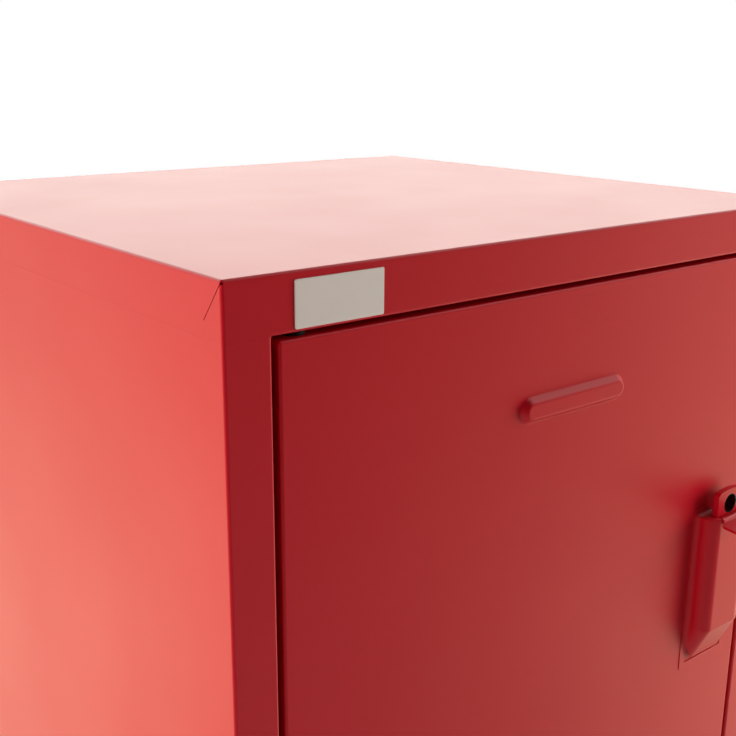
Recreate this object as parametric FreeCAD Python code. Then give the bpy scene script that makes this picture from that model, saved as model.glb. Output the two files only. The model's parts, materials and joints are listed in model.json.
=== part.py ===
"""A small red sheet-steel tool cabinet on four swivel castors, with one hinged door.

Millimetres. X runs to the right as one faces the door, Y runs back and Z runs up. The origin is on
the floor, under the middle of everything that the cabinet takes up, handle included.

Two identical pans, one the right way up and one upside down, close the body at the top and the
bottom. Folded side panels stand between them, and their front folds are the door's frame. The door
is a pan too. It turns on two pins, and a lift handle on its free side raises a latch bar.
"""

import math
import os

import FreeCAD
import Part

Vector = FreeCAD.Vector

# The body
CABINET_WIDTH = 400.0
CABINET_DEPTH = 380.0
BODY_HEIGHT = 500.0
SHEET = 1.0
BEND_INSIDE = 0.4
SEAM = 0.03
FIT = 0.5

# The pans at the top and the bottom
SKIRT_HEIGHT = 25.0
SKIRT_CORNER_TAB = 13.5
SKIRT_MITRE_DROP = 17.5
MITRE_SLIT = 0.5
CORNER_RELIEF = 0.5
STOP_LIP = 12.0

# The side panels
STILE_WIDTH = 22.2
JAMB_DEPTH = 21.0
STOP_FLANGE = 14.0
REAR_RETURN = 12.0
LAP_LENGTH = 16.0
LAP_WELD = 8.0

# The door
DOOR_SIDE_GAP = 3.2
DOOR_END_GAP = 2.4
DOOR_THICKNESS = 18.0
DOOR_RETURN = 12.0
BEAD_LENGTH = 77.0
BEAD_HEIGHT = 13.5
BEAD_RISE = 3.5
BEAD_BEVEL = 2.6
BEAD_ROUND = 2.0
BEAD_BLEND = 1.2
BEAD_RIGHT_OF_MIDDLE = 2.2
BEAD_BELOW_TOP = 84.8

# The door's pivots
PIVOT_FROM_EDGE = 12.0
PIVOT_FROM_FRONT = 8.5
PIN_RADIUS = 3.0
PIN_HEAD_RADIUS = 5.0
PIN_HEAD = 2.0
PIN_REACH = 13.0
BUSH_RADIUS = 4.2
BUSH_FLANGE_RADIUS = 5.2
BUSH_SLEEVE = 6.0
PIN_RUNNING_GAP = 0.06
MOVING_GAP = 0.3

# The handle housing
HANDLE_FROM_SIDE = 60.0
HOUSING_WIDTH = 39.5
HOUSING_RISE = 12.6
HOUSING_HEIGHT = 100.0
HOUSING_WALL = 1.2
HOUSING_CORNER = 8.0
HOUSING_TAIL = 26.0
HOUSING_FLANGE = 3.5
HOUSING_FLANGE_THICKNESS = 0.4
HOUSING_FLANGE_BLEND = 3.1
HOUSING_BELOW_TOP = 180.8

# The padlock staple
STAPLE_WIDTH = 24.0
STAPLE_THICKNESS = 3.4
STAPLE_STAND_OFF = 5.9
STAPLE_ABOVE_HOUSING = 17.0
STAPLE_SHOULDER = 7.0
STAPLE_INSIDE = 20.0
STAPLE_FOOT = 22.0
PADLOCK_HOLE_RADIUS = 6.0
PADLOCK_HOLE_ABOVE_HOUSING = 6.1
SHACKLE_WINDOW_WIDTH = 17.0
SHACKLE_WINDOW_ABOVE_HOUSING = 10.0
SHACKLE_WINDOW_BELOW_HOUSING = 8.0
SHACKLE_WINDOW_CORNER = 4.0

# The lift trigger
TRIGGER_THICKNESS = 1.5
TRIGGER_WIDTH = 35.0
TRIGGER_ABOVE_HOUSING = 0.3
TRIGGER_STEP = 1.5
TRIGGER_STEP_RUN = 1.0
TRIGGER_STEP_CLEAR = 1.0
TRIGGER_BEHIND_WALL = 0.3
TRIGGER_REACH = 31.0
TRIGGER_DROOP = 1.2
TRIGGER_CORNER = 6.0
TRIGGER_SHOULDER_CORNER = 4.5
TRIGGER_NECK = 2.0
TRIGGER_BEND = 0.8
TRIGGER_DROP = 58.0
TRIGGER_LEG_WIDTH = 24.0
TRIGGER_TAIL = 20.0
LIFT_TRAVEL = 12.0

# The latch inside the door
LATCH_BAR_WIDTH = 20.0
LATCH_BAR_THICKNESS = 2.0
LATCH_BAR_BEHIND_SKIN = 6.0
CATCH_HEIGHT = 8.0
CATCH_END_GAP = 1.5
KEEPER_SPREAD = 260.0
KEEPER_THICKNESS = 2.0
KEEPER_ARM = 5.0
KEEPER_NIB_RUN = 4.0
KEEPER_FOOT_HEIGHT = 20.0
KEEPER_FROM_EDGE = 5.5
KEEPER_CLEAR = 0.6
KEEPER_GRIP = 6.0
LATCH_GUIDE_HEIGHT = 12.0
LATCH_GUIDE_SPREAD = 190.0
CHANNEL_WIDTH = 32.0
CHANNEL_DEPTH = 12.0
CHANNEL_END_GAP = 24.0
RIVET_RADIUS = 2.0
RIVET_HEAD_RADIUS = 3.6
RIVET_HEAD = 1.2

# The inside
SHELF_ABOVE_BODY_FOOT = 262.0
SHELF_FRONT_SET_BACK = 34.0
SHELF_FRONT_LIP = 25.0
SHELF_FRONT_HEM = 9.0
SHELF_REAR_LIP = 15.0
CLIP_WIDTH = 22.0
CLIP_LEG = 16.0
CLIP_THICKNESS = 1.5
CLIP_SET_IN = 70.0
BUMPER_RADIUS = 4.0
BUMPER_SPREAD = 150.0

# The castors
WHEEL_RADIUS = 25.0
WHEEL_WIDTH = 18.0
TYRE_DEPTH = 6.5
TYRE_CHAMFER = 2.5
HUB_RIM = 2.5
HUB_WEB = 5.0
HUB_BOSS_RADIUS = 8.0
HUB_BOSS_OVERHANG = 2.0
HUB_RIM_SET_IN = 1.0
CASTOR_TRAIL = 22.0
CASTOR_INSET_SIDE = 42.0
CASTOR_INSET_END = 52.0
CASTOR_HEIGHT = 70.0
CASTOR_PLATE_SIDE = 60.0
CASTOR_PLATE_THICKNESS = 2.5
CASTOR_PLATE_CORNER = 6.0
CASTOR_BOLT_SPACING = 44.0
CASTOR_BOLT_RADIUS = 3.0
CASTOR_BOLT_CLEARANCE = 0.3
CASTOR_BOLT_TAIL = 2.5
CASTOR_BOLT_ACROSS_FLATS = 10.0
NUT_HEIGHT = 5.0
HEAD_HEIGHT = 4.0
RACE_RADIUS = 18.0
RACE_HEIGHT = 5.0
FORK_SHEET = 2.5
FORK_CLEAR = 3.0
FORK_FRONT_SET_BACK = 4.0
FORK_REAR_OVERHANG = 1.0
FORK_BEND = 2.0
KINGPIN_RADIUS = 5.0
KINGPIN_HEAD_RADIUS = 8.0
KINGPIN_HEAD = 2.3
AXLE_RADIUS = 4.0
AXLE_RUNNING_GAP = 0.08
AXLE_EYE = 9.0
AXLE_TAIL = 1.0
AXLE_ACROSS_FLATS = 13.0
BRAKE_SHEET = 2.0
BRAKE_PIVOT_RADIUS = 2.5
BRAKE_SHOE_GAP = 2.8
BRAKE_SHOE_ANGLE = 42.0
BRAKE_SHOE_OVERLAP = 2.0
BRAKE_TREAD = 20.0
BRAKE_TREAD_RISE = 6.0
BRAKE_PIVOT_BEHIND_KINGPIN = 6.0
BRAKE_PIVOT_BELOW_CROWN = 9.0
BRAKE_ARM_OVERHANG = 5.0
BRAKE_ARM_HEIGHT = 8.0
BRAKE_RIVET_RIM = 2.0

# Places worked out from the sizes above
OUTER_BEND = BEND_INSIDE + SHEET
HALF_WIDTH = CABINET_WIDTH / 2
FRONT = -(CABINET_DEPTH - TRIGGER_REACH) / 2
BACK = FRONT + CABINET_DEPTH
FOOT = CASTOR_HEIGHT
TOP = FOOT + BODY_HEIGHT
MIDDLE = (FOOT + TOP) / 2
DOOR_HALF_WIDTH = HALF_WIDTH - STILE_WIDTH - DOOR_SIDE_GAP
DOOR_LOW = FOOT + SKIRT_HEIGHT + DOOR_END_GAP
DOOR_HIGH = TOP - SKIRT_HEIGHT - DOOR_END_GAP
DOOR_BACK = FRONT + DOOR_THICKNESS
SKIN_BACK = FRONT + SHEET
STOP_FACE = FRONT + JAMB_DEPTH
PIVOT_X = -DOOR_HALF_WIDTH + PIVOT_FROM_EDGE
PIVOT_Y = FRONT + PIVOT_FROM_FRONT
HANDLE_X = HALF_WIDTH - HANDLE_FROM_SIDE
HOUSING_TOP = TOP - HOUSING_BELOW_TOP
HOUSING_FACE = FRONT - HOUSING_RISE
STAPLE_BACK = FRONT - STAPLE_STAND_OFF
STAPLE_FACE = STAPLE_BACK - STAPLE_THICKNESS
TRIGGER_FACE = HOUSING_FACE + HOUSING_WALL + TRIGGER_BEHIND_WALL
TRIGGER_BACK = TRIGGER_FACE + TRIGGER_THICKNESS
TRIGGER_TOP = HOUSING_TOP + TRIGGER_ABOVE_HOUSING
LIP_LEVEL = TRIGGER_TOP - TRIGGER_STEP
TRIGGER_LEG_TOP = TRIGGER_TOP - TRIGGER_DROP
LATCH_FACE = SKIN_BACK + LATCH_BAR_BEHIND_SKIN
LATCH_BACK = LATCH_FACE + LATCH_BAR_THICKNESS
KEEPER_X = DOOR_HALF_WIDTH - KEEPER_FROM_EDGE
DOOR_MIDDLE = (DOOR_LOW + DOOR_HIGH) / 2
CATCH_LEVELS = (DOOR_MIDDLE - KEEPER_SPREAD / 2, DOOR_MIDDLE + KEEPER_SPREAD / 2)
SHELF_TOP = FOOT + SHELF_ABOVE_BODY_FOOT
AXLE_Z = WHEEL_RADIUS
CROWN_LOW = 2 * WHEEL_RADIUS + FORK_CLEAR
CROWN_HIGH = CROWN_LOW + FORK_SHEET
PLATE_LOW = FOOT - CASTOR_PLATE_THICKNESS
RACE_LOW = PLATE_LOW - RACE_HEIGHT
HUB_HALF = WHEEL_WIDTH / 2 + HUB_BOSS_OVERHANG
LEG_INNER = HUB_HALF + MOVING_GAP
LEG_OUTER = LEG_INNER + FORK_SHEET
BRAKE_PIVOT_Y = BRAKE_PIVOT_BEHIND_KINGPIN
BRAKE_PIVOT_Z = CROWN_LOW - BRAKE_PIVOT_BELOW_CROWN


def box(x, y, z):
    """A block between two corners, given as (low, high) along each axis."""
    corner = Vector(x[0], y[0], z[0])
    return Part.makeBox(x[1] - x[0], y[1] - y[0], z[1] - z[0], corner)


def rod(x, y, z, radius, length, direction=(0, 0, 1)):
    """A round bar that starts at a point and runs along a direction."""
    return Part.makeCylinder(radius, length, Vector(x, y, z), Vector(*direction))


def hexagon(x, y, z, across_flats, height, direction=(0, 0, 1)):
    """A hexagonal prism, as a bolt head or a nut."""
    radius = across_flats / math.sqrt(3)
    corners = [
        Vector(radius * math.cos(math.pi / 3 * i), radius * math.sin(math.pi / 3 * i), 0)
        for i in range(7)
    ]
    prism = Part.Face(Part.makePolygon(corners)).extrude(Vector(0, 0, height))
    prism.Placement = FreeCAD.Placement(
        Vector(x, y, z), FreeCAD.Rotation(Vector(0, 0, 1), Vector(*direction))
    )
    return prism


def mirrored_x(shape):
    """The same piece for the other side of the cabinet."""
    return shape.mirror(Vector(0, 0, 0), Vector(1, 0, 0))


def round_edges(shape, radius, wanted):
    """Rounds the edges for which wanted(bounding box) is true."""
    edges = [edge for edge in shape.Edges if wanted(edge.BoundBox)]
    return shape.makeFillet(radius, edges)


def flat_at(low, high, level):
    """True where an edge's extent along one axis lies in one plane."""
    return abs(low - level) < 1e-6 and abs(high - level) < 1e-6


def folded_pan(x, y, z, open_face):
    """A tray folded from sheet, with rounded bends. open_face is 'z_low', 'z_high' or 'y_high'."""
    open_level = {"z_low": z[0], "z_high": z[1], "y_high": y[1]}[open_face]

    def closed(bounds, level):
        if open_face == "y_high":
            return not flat_at(bounds.YMin, bounds.YMax, level)
        return not flat_at(bounds.ZMin, bounds.ZMax, level)

    outer = round_edges(box(x, y, z), OUTER_BEND, lambda b: closed(b, open_level))
    past = 2 * OUTER_BEND
    inner_x = (x[0] + SHEET, x[1] - SHEET)
    inner_y = (y[0] + SHEET, y[1] + past if open_face == "y_high" else y[1] - SHEET)
    inner_z = (
        z[0] - past if open_face == "z_low" else z[0] + SHEET,
        z[1] + past if open_face == "z_high" else z[1] - SHEET,
    )
    inner_level = {"z_low": inner_z[0], "z_high": inner_z[1], "y_high": inner_y[1]}[open_face]
    inner = round_edges(
        box(inner_x, inner_y, inner_z), BEND_INSIDE, lambda b: closed(b, inner_level)
    )
    return outer.cut(inner)


def bent_sheet(path, inside_radius, thickness, place, sweep):
    """A sheet folded along a path of 2-D points that one of its faces follows.

    The thickness lies to the left of the path. place(a, b) turns a 2-D point into a vector, and
    sweep is the vector along which the section is drawn out.
    """

    def step(point, direction, distance):
        return (point[0] + direction[0] * distance, point[1] + direction[1] * distance)

    def arc(p, middle, q):
        return Part.Arc(place(*p), place(*middle), place(*q)).toShape()

    def line(p, q):
        return Part.LineSegment(place(*p), place(*q)).toShape()

    ways = []
    for (x0, y0), (x1, y1) in zip(path, path[1:]):
        length = math.hypot(x1 - x0, y1 - y0)
        ways.append(((x1 - x0) / length, (y1 - y0) / length))
    lefts = [(-b, a) for a, b in ways]

    near, far = [], []
    near_at, far_at = path[0], step(path[0], lefts[0], thickness)
    start_near, start_far = near_at, far_at
    for corner, way_in, way_out, left_in, left_out in zip(
        path[1:-1], ways, ways[1:], lefts, lefts[1:]
    ):
        turn = 1 if way_in[0] * way_out[1] - way_in[1] * way_out[0] > 0 else -1
        radius = inside_radius + (thickness if turn > 0 else 0)
        angle = math.acos(way_in[0] * way_out[0] + way_in[1] * way_out[1])
        back_off = radius * math.tan(angle / 2)
        enter = step(corner, way_in, -back_off)
        leave = step(corner, way_out, back_off)
        centre = step(enter, left_in, radius * turn)
        to_corner = math.hypot(corner[0] - centre[0], corner[1] - centre[1])
        towards = ((corner[0] - centre[0]) / to_corner, (corner[1] - centre[1]) / to_corner)
        far_enter = step(enter, left_in, thickness)
        far_leave = step(leave, left_out, thickness)
        near += [line(near_at, enter), arc(enter, step(centre, towards, radius), leave)]
        far_middle = step(centre, towards, radius - thickness * turn)
        far += [line(far_at, far_enter), arc(far_enter, far_middle, far_leave)]
        near_at, far_at = leave, far_leave
    end_near, end_far = path[-1], step(path[-1], lefts[-1], thickness)
    near.append(line(near_at, end_near))
    far.append(line(far_at, end_far))
    caps = [line(end_near, end_far), line(start_far, start_near)]
    wire = Part.Wire(Part.__sortEdges__(near + far + caps))
    return Part.Face(wire).extrude(sweep)


def in_yz(x):
    """Puts a 2-D point (y, z) into the plane at x."""
    return lambda a, b: Vector(x, a, b)


def in_xy(z):
    """Puts a 2-D point (x, y) into the plane at z."""
    return lambda a, b: Vector(a, b, z)


def stadium(x, y, z, length, height):
    """The outline of a pill, lying along X in the plane at y."""
    r = height / 2
    a = length / 2 - r
    left_low, left_high = Vector(x - a, y, z - r), Vector(x - a, y, z + r)
    right_low, right_high = Vector(x + a, y, z - r), Vector(x + a, y, z + r)
    return Part.Wire([
        Part.LineSegment(left_low, right_low).toShape(),
        Part.Arc(right_low, Vector(x + a + r, y, z), right_high).toShape(),
        Part.LineSegment(right_high, left_high).toShape(),
        Part.Arc(left_high, Vector(x - a - r, y, z), left_low).toShape(),
    ])


def corner_slit():
    """The mitre between a side skirt and the tab that wraps round from the front skirt.

    It runs open from the relief hole in the corner to the knee and is closed up below it.
    """
    wide, narrow = MITRE_SLIT / 2, SEAM / 2
    start = (FRONT + OUTER_BEND / 2, TOP - OUTER_BEND)
    knee = (FRONT + SKIRT_CORNER_TAB, TOP - SKIRT_MITRE_DROP)
    end = (FRONT + SKIRT_CORNER_TAB, TOP - SKIRT_HEIGHT - FIT)
    outline = [
        (start[0] - wide, start[1]),
        (knee[0] - wide, knee[1]),
        (knee[0] - narrow, knee[1] - wide),
        (end[0] - narrow, end[1]),
        (end[0] + narrow, end[1]),
        (knee[0] + narrow, knee[1] - wide),
        (knee[0] + wide, knee[1]),
        (start[0] + wide, start[1]),
    ]
    corners = [Vector(-HALF_WIDTH - FIT, a, b) for a, b in outline + outline[:1]]
    slit = Part.Face(Part.makePolygon(corners)).extrude(Vector(SHEET + 2 * FIT, 0, 0))
    relief = rod(-HALF_WIDTH - FIT, FRONT - FIT, TOP - OUTER_BEND, CORNER_RELIEF,
                 3 * OUTER_BEND, (1, 1, 0))
    return slit.fuse(relief)


def pan():
    """The top pan: a plate with skirts, a front return for the pivot and a lip that stops the door.

    The front return is notched out over the stiles, so that the skirt sits flush on them.
    """
    low = TOP - SKIRT_HEIGHT
    shell = folded_pan((-HALF_WIDTH, HALF_WIDTH), (FRONT, BACK), (low, TOP), "z_low")
    half_opening = HALF_WIDTH - STILE_WIDTH
    fold_start = low + 3 * OUTER_BEND
    shell = shell.cut(
        box((-half_opening, half_opening), (FRONT - 1, FRONT + SHEET), (low - 1, fold_start))
    )
    fold = [(FRONT, fold_start), (FRONT, low), (STOP_FACE + SHEET, low)]
    fascia = bent_sheet(
        fold, BEND_INSIDE, SHEET, in_yz(-half_opening), Vector(2 * half_opening, 0, 0)
    )
    lip_from = PIVOT_X + PIVOT_FROM_EDGE + PIN_RADIUS
    lip_to = DOOR_HALF_WIDTH + DOOR_SIDE_GAP - STOP_FLANGE - FIT
    lip_fold = [(FRONT + OUTER_BEND, low), (STOP_FACE, low), (STOP_FACE, low - STOP_LIP)]
    lip = bent_sheet(
        lip_fold, BEND_INSIDE, SHEET, in_yz(lip_from), Vector(lip_to - lip_from, 0, 0)
    )
    shell = shell.fuse([fascia, lip])
    shell = shell.cut([corner_slit(), mirrored_x(corner_slit())])
    pin_hole = rod(PIVOT_X, PIVOT_Y, low - 1, PIN_RADIUS, SHEET + 2)
    return shell.cut(pin_hole).removeSplitter()


def castor_centres():
    """Where each castor's kingpin stands, by name."""
    x = HALF_WIDTH - CASTOR_INSET_SIDE
    front, rear = FRONT + CASTOR_INSET_END, BACK - CASTOR_INSET_END
    return {
        "front_left": (-x, front),
        "front_right": (x, front),
        "rear_left": (-x, rear),
        "rear_right": (x, rear),
    }


def castor_bolt_places():
    """The sixteen bolts that hold the castors to the base pan."""
    half = CASTOR_BOLT_SPACING / 2
    return [
        (x + dx, y + dy)
        for x, y in castor_centres().values()
        for dx in (-half, half)
        for dy in (-half, half)
    ]


def base_pan():
    """The same pressing turned over, drilled for the castors."""
    base = pan().mirror(Vector(0, 0, MIDDLE), Vector(0, 0, 1))
    hole = CASTOR_BOLT_RADIUS + CASTOR_BOLT_CLEARANCE
    return base.cut([rod(x, y, FOOT - 1, hole, SHEET + 2) for x, y in castor_bolt_places()])


def side_panel(with_stop):
    """The left side panel: rear return, side, door stile and jamb, and the stop if it has one."""
    path = [
        (-HALF_WIDTH + REAR_RETURN, BACK),
        (-HALF_WIDTH, BACK),
        (-HALF_WIDTH, FRONT),
        (-HALF_WIDTH + STILE_WIDTH, FRONT),
        (-HALF_WIDTH + STILE_WIDTH, STOP_FACE),
    ]
    if with_stop:
        path.append((-HALF_WIDTH + STILE_WIDTH + STOP_FLANGE, STOP_FACE))
    low, high = FOOT + SKIRT_HEIGHT + SEAM, TOP - SKIRT_HEIGHT - SEAM
    panel = bent_sheet(path, BEND_INSIDE, SHEET, in_xy(low), Vector(0, 0, high - low))
    lap_x = (-HALF_WIDTH + SHEET, -HALF_WIDTH + 2 * SHEET)
    lap_y = (STOP_FACE + SHEET + 2, BACK - REAR_RETURN - 2)
    upper = box(lap_x, lap_y, (high - LAP_WELD, high + LAP_LENGTH))
    lower = box(lap_x, lap_y, (low - LAP_LENGTH, low + LAP_WELD))
    return panel.fuse([upper, lower]).removeSplitter()


def back_panel():
    """A flat sheet inside the rear returns and the pans' rear skirts."""
    half = HALF_WIDTH - SHEET - BEND_INSIDE - FIT
    inset = SHEET + BEND_INSIDE + FIT
    return box((-half, half), (BACK - 2 * SHEET, BACK - SHEET), (FOOT + inset, TOP - inset))


def floor_tray():
    """The lift-out floor that stands on the base pan, level with the door's sill."""
    half = HALF_WIDTH - 2 * SHEET - FIT
    y = (STOP_FACE + SHEET + FIT, BACK - 2 * SHEET - FIT)
    return folded_pan((-half, half), y, (FOOT + SHEET, FOOT + SKIRT_HEIGHT + SHEET), "z_low")


def shelf():
    """The shelf: a plate with a hemmed front lip and a rear lip."""
    front, rear = FRONT + SHELF_FRONT_SET_BACK, BACK - 2 * SHEET - FIT
    half = HALF_WIDTH - SHEET - CLIP_THICKNESS - FIT
    path = [
        (rear, SHELF_TOP - SHELF_REAR_LIP),
        (rear, SHELF_TOP),
        (front, SHELF_TOP),
        (front, SHELF_TOP - SHELF_FRONT_LIP),
        (front + SHELF_FRONT_HEM, SHELF_TOP - SHELF_FRONT_LIP),
    ]
    return bent_sheet(path, BEND_INSIDE, SHEET, in_yz(-half), Vector(2 * half, 0, 0))


def shelf_clips():
    """Four angle clips, welded to the side panels, that the shelf lies on."""
    seat = SHELF_TOP - SHEET
    wall = -HALF_WIDTH + SHEET
    path = [(wall + CLIP_LEG, seat), (wall, seat), (wall, seat - CLIP_LEG)]
    clips = []
    for y in (FRONT + CLIP_SET_IN, BACK - CLIP_SET_IN):
        low = y - CLIP_WIDTH / 2
        clip = bent_sheet(
            path, SHEET, CLIP_THICKNESS,
            lambda a, b, low=low: Vector(a, low, b), Vector(0, CLIP_WIDTH, 0),
        )
        clips += [clip, mirrored_x(clip)]
    return clips


def pill_solid(z, grow, low_y, high_y, bevel):
    """A tapered pill, wider at high_y than at low_y, smaller all round by grow."""
    length, height = BEAD_LENGTH - 2 * grow, BEAD_HEIGHT - 2 * grow
    base = stadium(BEAD_RIGHT_OF_MIDDLE, high_y, z, length, height)
    face = stadium(BEAD_RIGHT_OF_MIDDLE, low_y, z, length - 2 * bevel, height - 2 * bevel)
    return Part.makeLoft([base, face], True, True)


def press_bead(skin, z):
    """Presses a raised, hollow, pill-shaped bead with soft edges out of the door's skin."""
    outside = pill_solid(z, 0, FRONT - BEAD_RISE, FRONT, BEAD_BEVEL)
    outside = round_edges(
        outside, BEAD_ROUND, lambda b: flat_at(b.YMin, b.YMax, FRONT - BEAD_RISE)
    )
    slope = BEAD_BEVEL / BEAD_RISE
    inside = pill_solid(
        z, SHEET - slope * SHEET, FRONT - BEAD_RISE + SHEET, SKIN_BACK, BEAD_BEVEL
    )
    raised = round_edges(
        skin.fuse(outside), BEAD_BLEND,
        lambda b: flat_at(b.YMin, b.YMax, FRONT)
        and abs(b.ZMin + b.ZMax - 2 * z) < 2 * BEAD_HEIGHT
        and abs(b.XMin - BEAD_RIGHT_OF_MIDDLE) < BEAD_LENGTH / 2 + FIT
        and abs(b.XMax - BEAD_RIGHT_OF_MIDDLE) < BEAD_LENGTH / 2 + FIT,
    )
    return raised.cut(inside)


def keeper_window(level):
    """The gap in the door's rear return through which a keeper passes."""
    return box(
        (DOOR_HALF_WIDTH - DOOR_RETURN - 1, DOOR_HALF_WIDTH - SHEET),
        (DOOR_BACK - SHEET - 1, DOOR_BACK + 1),
        (level - 2 * KEEPER_ARM, level + KEEPER_GRIP + FIT + KEEPER_CLEAR),
    )


def trigger_slot():
    """The slot in the skin for the trigger's leg, long enough for its travel."""
    half = TRIGGER_LEG_WIDTH / 2 + FIT
    low = TRIGGER_LEG_TOP - TRIGGER_THICKNESS - FIT
    return box((HANDLE_X - half, HANDLE_X + half), (FRONT - 1, SKIN_BACK + 1),
               (low, TRIGGER_LEG_TOP + LIFT_TRAVEL + FIT))


def shackle_window():
    """The opening behind the staple's eye, in the skin and the housing, for a padlock's shackle."""
    half = SHACKLE_WINDOW_WIDTH / 2
    window = box(
        (HANDLE_X - half, HANDLE_X + half),
        (STAPLE_BACK, SKIN_BACK + 1),
        (HOUSING_TOP - SHACKLE_WINDOW_BELOW_HOUSING, HOUSING_TOP + SHACKLE_WINDOW_ABOVE_HOUSING),
    )
    return round_edges(window, SHACKLE_WINDOW_CORNER, lambda b: b.YLength > FIT)


def door_skin():
    """The door: a pan with returns down both sides, two raised beads and its holes."""
    x = (-DOOR_HALF_WIDTH, DOOR_HALF_WIDTH)
    skin = folded_pan(x, (FRONT, DOOR_BACK), (DOOR_LOW, DOOR_HIGH), "y_high")
    ends = (DOOR_LOW + OUTER_BEND, DOOR_HIGH - OUTER_BEND)
    path = [(-DOOR_HALF_WIDTH, DOOR_BACK - 2 * OUTER_BEND), (-DOOR_HALF_WIDTH, DOOR_BACK),
            (-DOOR_HALF_WIDTH + DOOR_RETURN, DOOR_BACK)]
    skin = skin.cut([
        box((-DOOR_HALF_WIDTH - 1, -DOOR_HALF_WIDTH + SHEET), (path[0][1], DOOR_BACK + 1), ends),
        box((DOOR_HALF_WIDTH - SHEET, DOOR_HALF_WIDTH + 1), (path[0][1], DOOR_BACK + 1), ends),
    ])
    fold = bent_sheet(
        path[::-1], BEND_INSIDE, SHEET, in_xy(ends[0]), Vector(0, 0, ends[1] - ends[0])
    )
    skin = skin.fuse([fold, mirrored_x(fold)])
    for z in (TOP - BEAD_BELOW_TOP, FOOT + BEAD_BELOW_TOP):
        skin = press_bead(skin, z)
    holes = [keeper_window(level) for level in CATCH_LEVELS] + [trigger_slot(), shackle_window()]
    for z in (DOOR_LOW - 1, DOOR_HIGH - SHEET - 1):
        holes.append(rod(PIVOT_X, PIVOT_Y, z, BUSH_RADIUS, SHEET + 2))
    for z in staple_rivet_levels():
        holes.append(rod(HANDLE_X, FRONT - 1, z, RIVET_RADIUS, SHEET + 2, (0, 1, 0)))
    return skin.cut(holes).removeSplitter()


def hinge_pin(upper):
    """A pivot pin, fixed in a pan's front return, that points at the door."""
    seat = TOP - SKIRT_HEIGHT
    shank = rod(PIVOT_X, PIVOT_Y, seat - PIN_REACH, PIN_RADIUS, PIN_REACH + SHEET)
    head = rod(PIVOT_X, PIVOT_Y, seat + SHEET, PIN_HEAD_RADIUS, PIN_HEAD)
    pin = shank.fuse(head).removeSplitter()
    return pin if upper else pin.mirror(Vector(0, 0, MIDDLE), Vector(0, 0, 1))


def hinge_bush(upper):
    """A flanged nylon bush in the door's end, which turns on the pin."""
    flange_top = DOOR_HIGH + DOOR_END_GAP - MOVING_GAP
    flange = rod(PIVOT_X, PIVOT_Y, DOOR_HIGH, BUSH_FLANGE_RADIUS, flange_top - DOOR_HIGH)
    sleeve = rod(PIVOT_X, PIVOT_Y, DOOR_HIGH - BUSH_SLEEVE, BUSH_RADIUS, BUSH_SLEEVE)
    bore = rod(PIVOT_X, PIVOT_Y, DOOR_HIGH - BUSH_SLEEVE - 1, PIN_RADIUS + PIN_RUNNING_GAP,
               flange_top - DOOR_HIGH + BUSH_SLEEVE + 2)
    bush = flange.fuse(sleeve).cut(bore).removeSplitter()
    return bush if upper else bush.mirror(Vector(0, 0, MIDDLE), Vector(0, 0, 1))


def housing_solid(inset):
    """The outside of the handle housing, or the space inside it if inset is its wall."""
    half = HOUSING_WIDTH / 2 - inset
    face = HOUSING_FACE + inset
    top = HOUSING_TOP - inset
    low = HOUSING_TOP - HOUSING_HEIGHT + inset
    tail = HOUSING_TAIL - inset
    profile = [(FRONT, top), (face, top), (face, low + tail), (FRONT, low)]
    corners = [Vector(HANDLE_X - half, a, b) for a, b in profile + profile[:1]]
    solid = Part.Face(Part.makePolygon(corners)).extrude(Vector(2 * half, 0, 0))
    corner = HOUSING_CORNER - inset

    def upright(bounds):
        at_side = flat_at(bounds.XMin, bounds.XMax, HANDLE_X - half) or flat_at(
            bounds.XMin, bounds.XMax, HANDLE_X + half
        )
        on_door = flat_at(bounds.YMin, bounds.YMax, FRONT)
        level = flat_at(bounds.ZMin, bounds.ZMax, top)
        return at_side and not on_door and not level

    return round_edges(solid, corner, upright)


def handle_housing():
    """The pressed cover that stands out from the door round the staple and the trigger."""
    half = HOUSING_WIDTH / 2
    low = HOUSING_TOP - HOUSING_HEIGHT
    seam = FRONT - HOUSING_FLANGE_THICKNESS
    flange = box(
        (HANDLE_X - half - HOUSING_FLANGE, HANDLE_X + half + HOUSING_FLANGE),
        (seam, FRONT), (low - HOUSING_FLANGE, HOUSING_TOP + HOUSING_FLANGE),
    )
    flange = round_edges(
        flange, HOUSING_FLANGE, lambda b: b.YLength > HOUSING_FLANGE_THICKNESS / 2
    )
    outside = housing_solid(0)
    outside = round_edges(
        outside, HOUSING_WALL / 2,
        lambda b: flat_at(b.ZMin, b.ZMax, HOUSING_TOP) and b.YMin < FRONT - FIT,
    ).fuse(flange)
    outside = round_edges(
        outside, HOUSING_FLANGE_BLEND,
        lambda b: flat_at(b.YMin, b.YMax, seam)
        and b.XMin > HANDLE_X - half - FIT and b.XMax < HANDLE_X + half + FIT
        and b.ZMin > low - FIT and b.ZMax < HOUSING_TOP + FIT,
    )
    mouth_half = TRIGGER_LEG_WIDTH / 2 + MOVING_GAP
    mouth = box(
        (HANDLE_X - mouth_half, HANDLE_X + mouth_half),
        (HOUSING_FACE - 1, TRIGGER_BACK + MOVING_GAP),
        (LIP_LEVEL - TRIGGER_THICKNESS - FIT, HOUSING_TOP + 1),
    )
    slot_half = STAPLE_WIDTH / 2 + MOVING_GAP
    slot = box(
        (HANDLE_X - slot_half, HANDLE_X + slot_half),
        (STAPLE_FACE - MOVING_GAP, STAPLE_BACK + MOVING_GAP),
        (HOUSING_TOP - HOUSING_WALL - 1, HOUSING_TOP + 1),
    )
    hollow = [housing_solid(HOUSING_WALL), housing_back(), mouth, slot, shackle_window()]
    return outside.cut(hollow).removeSplitter()


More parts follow.
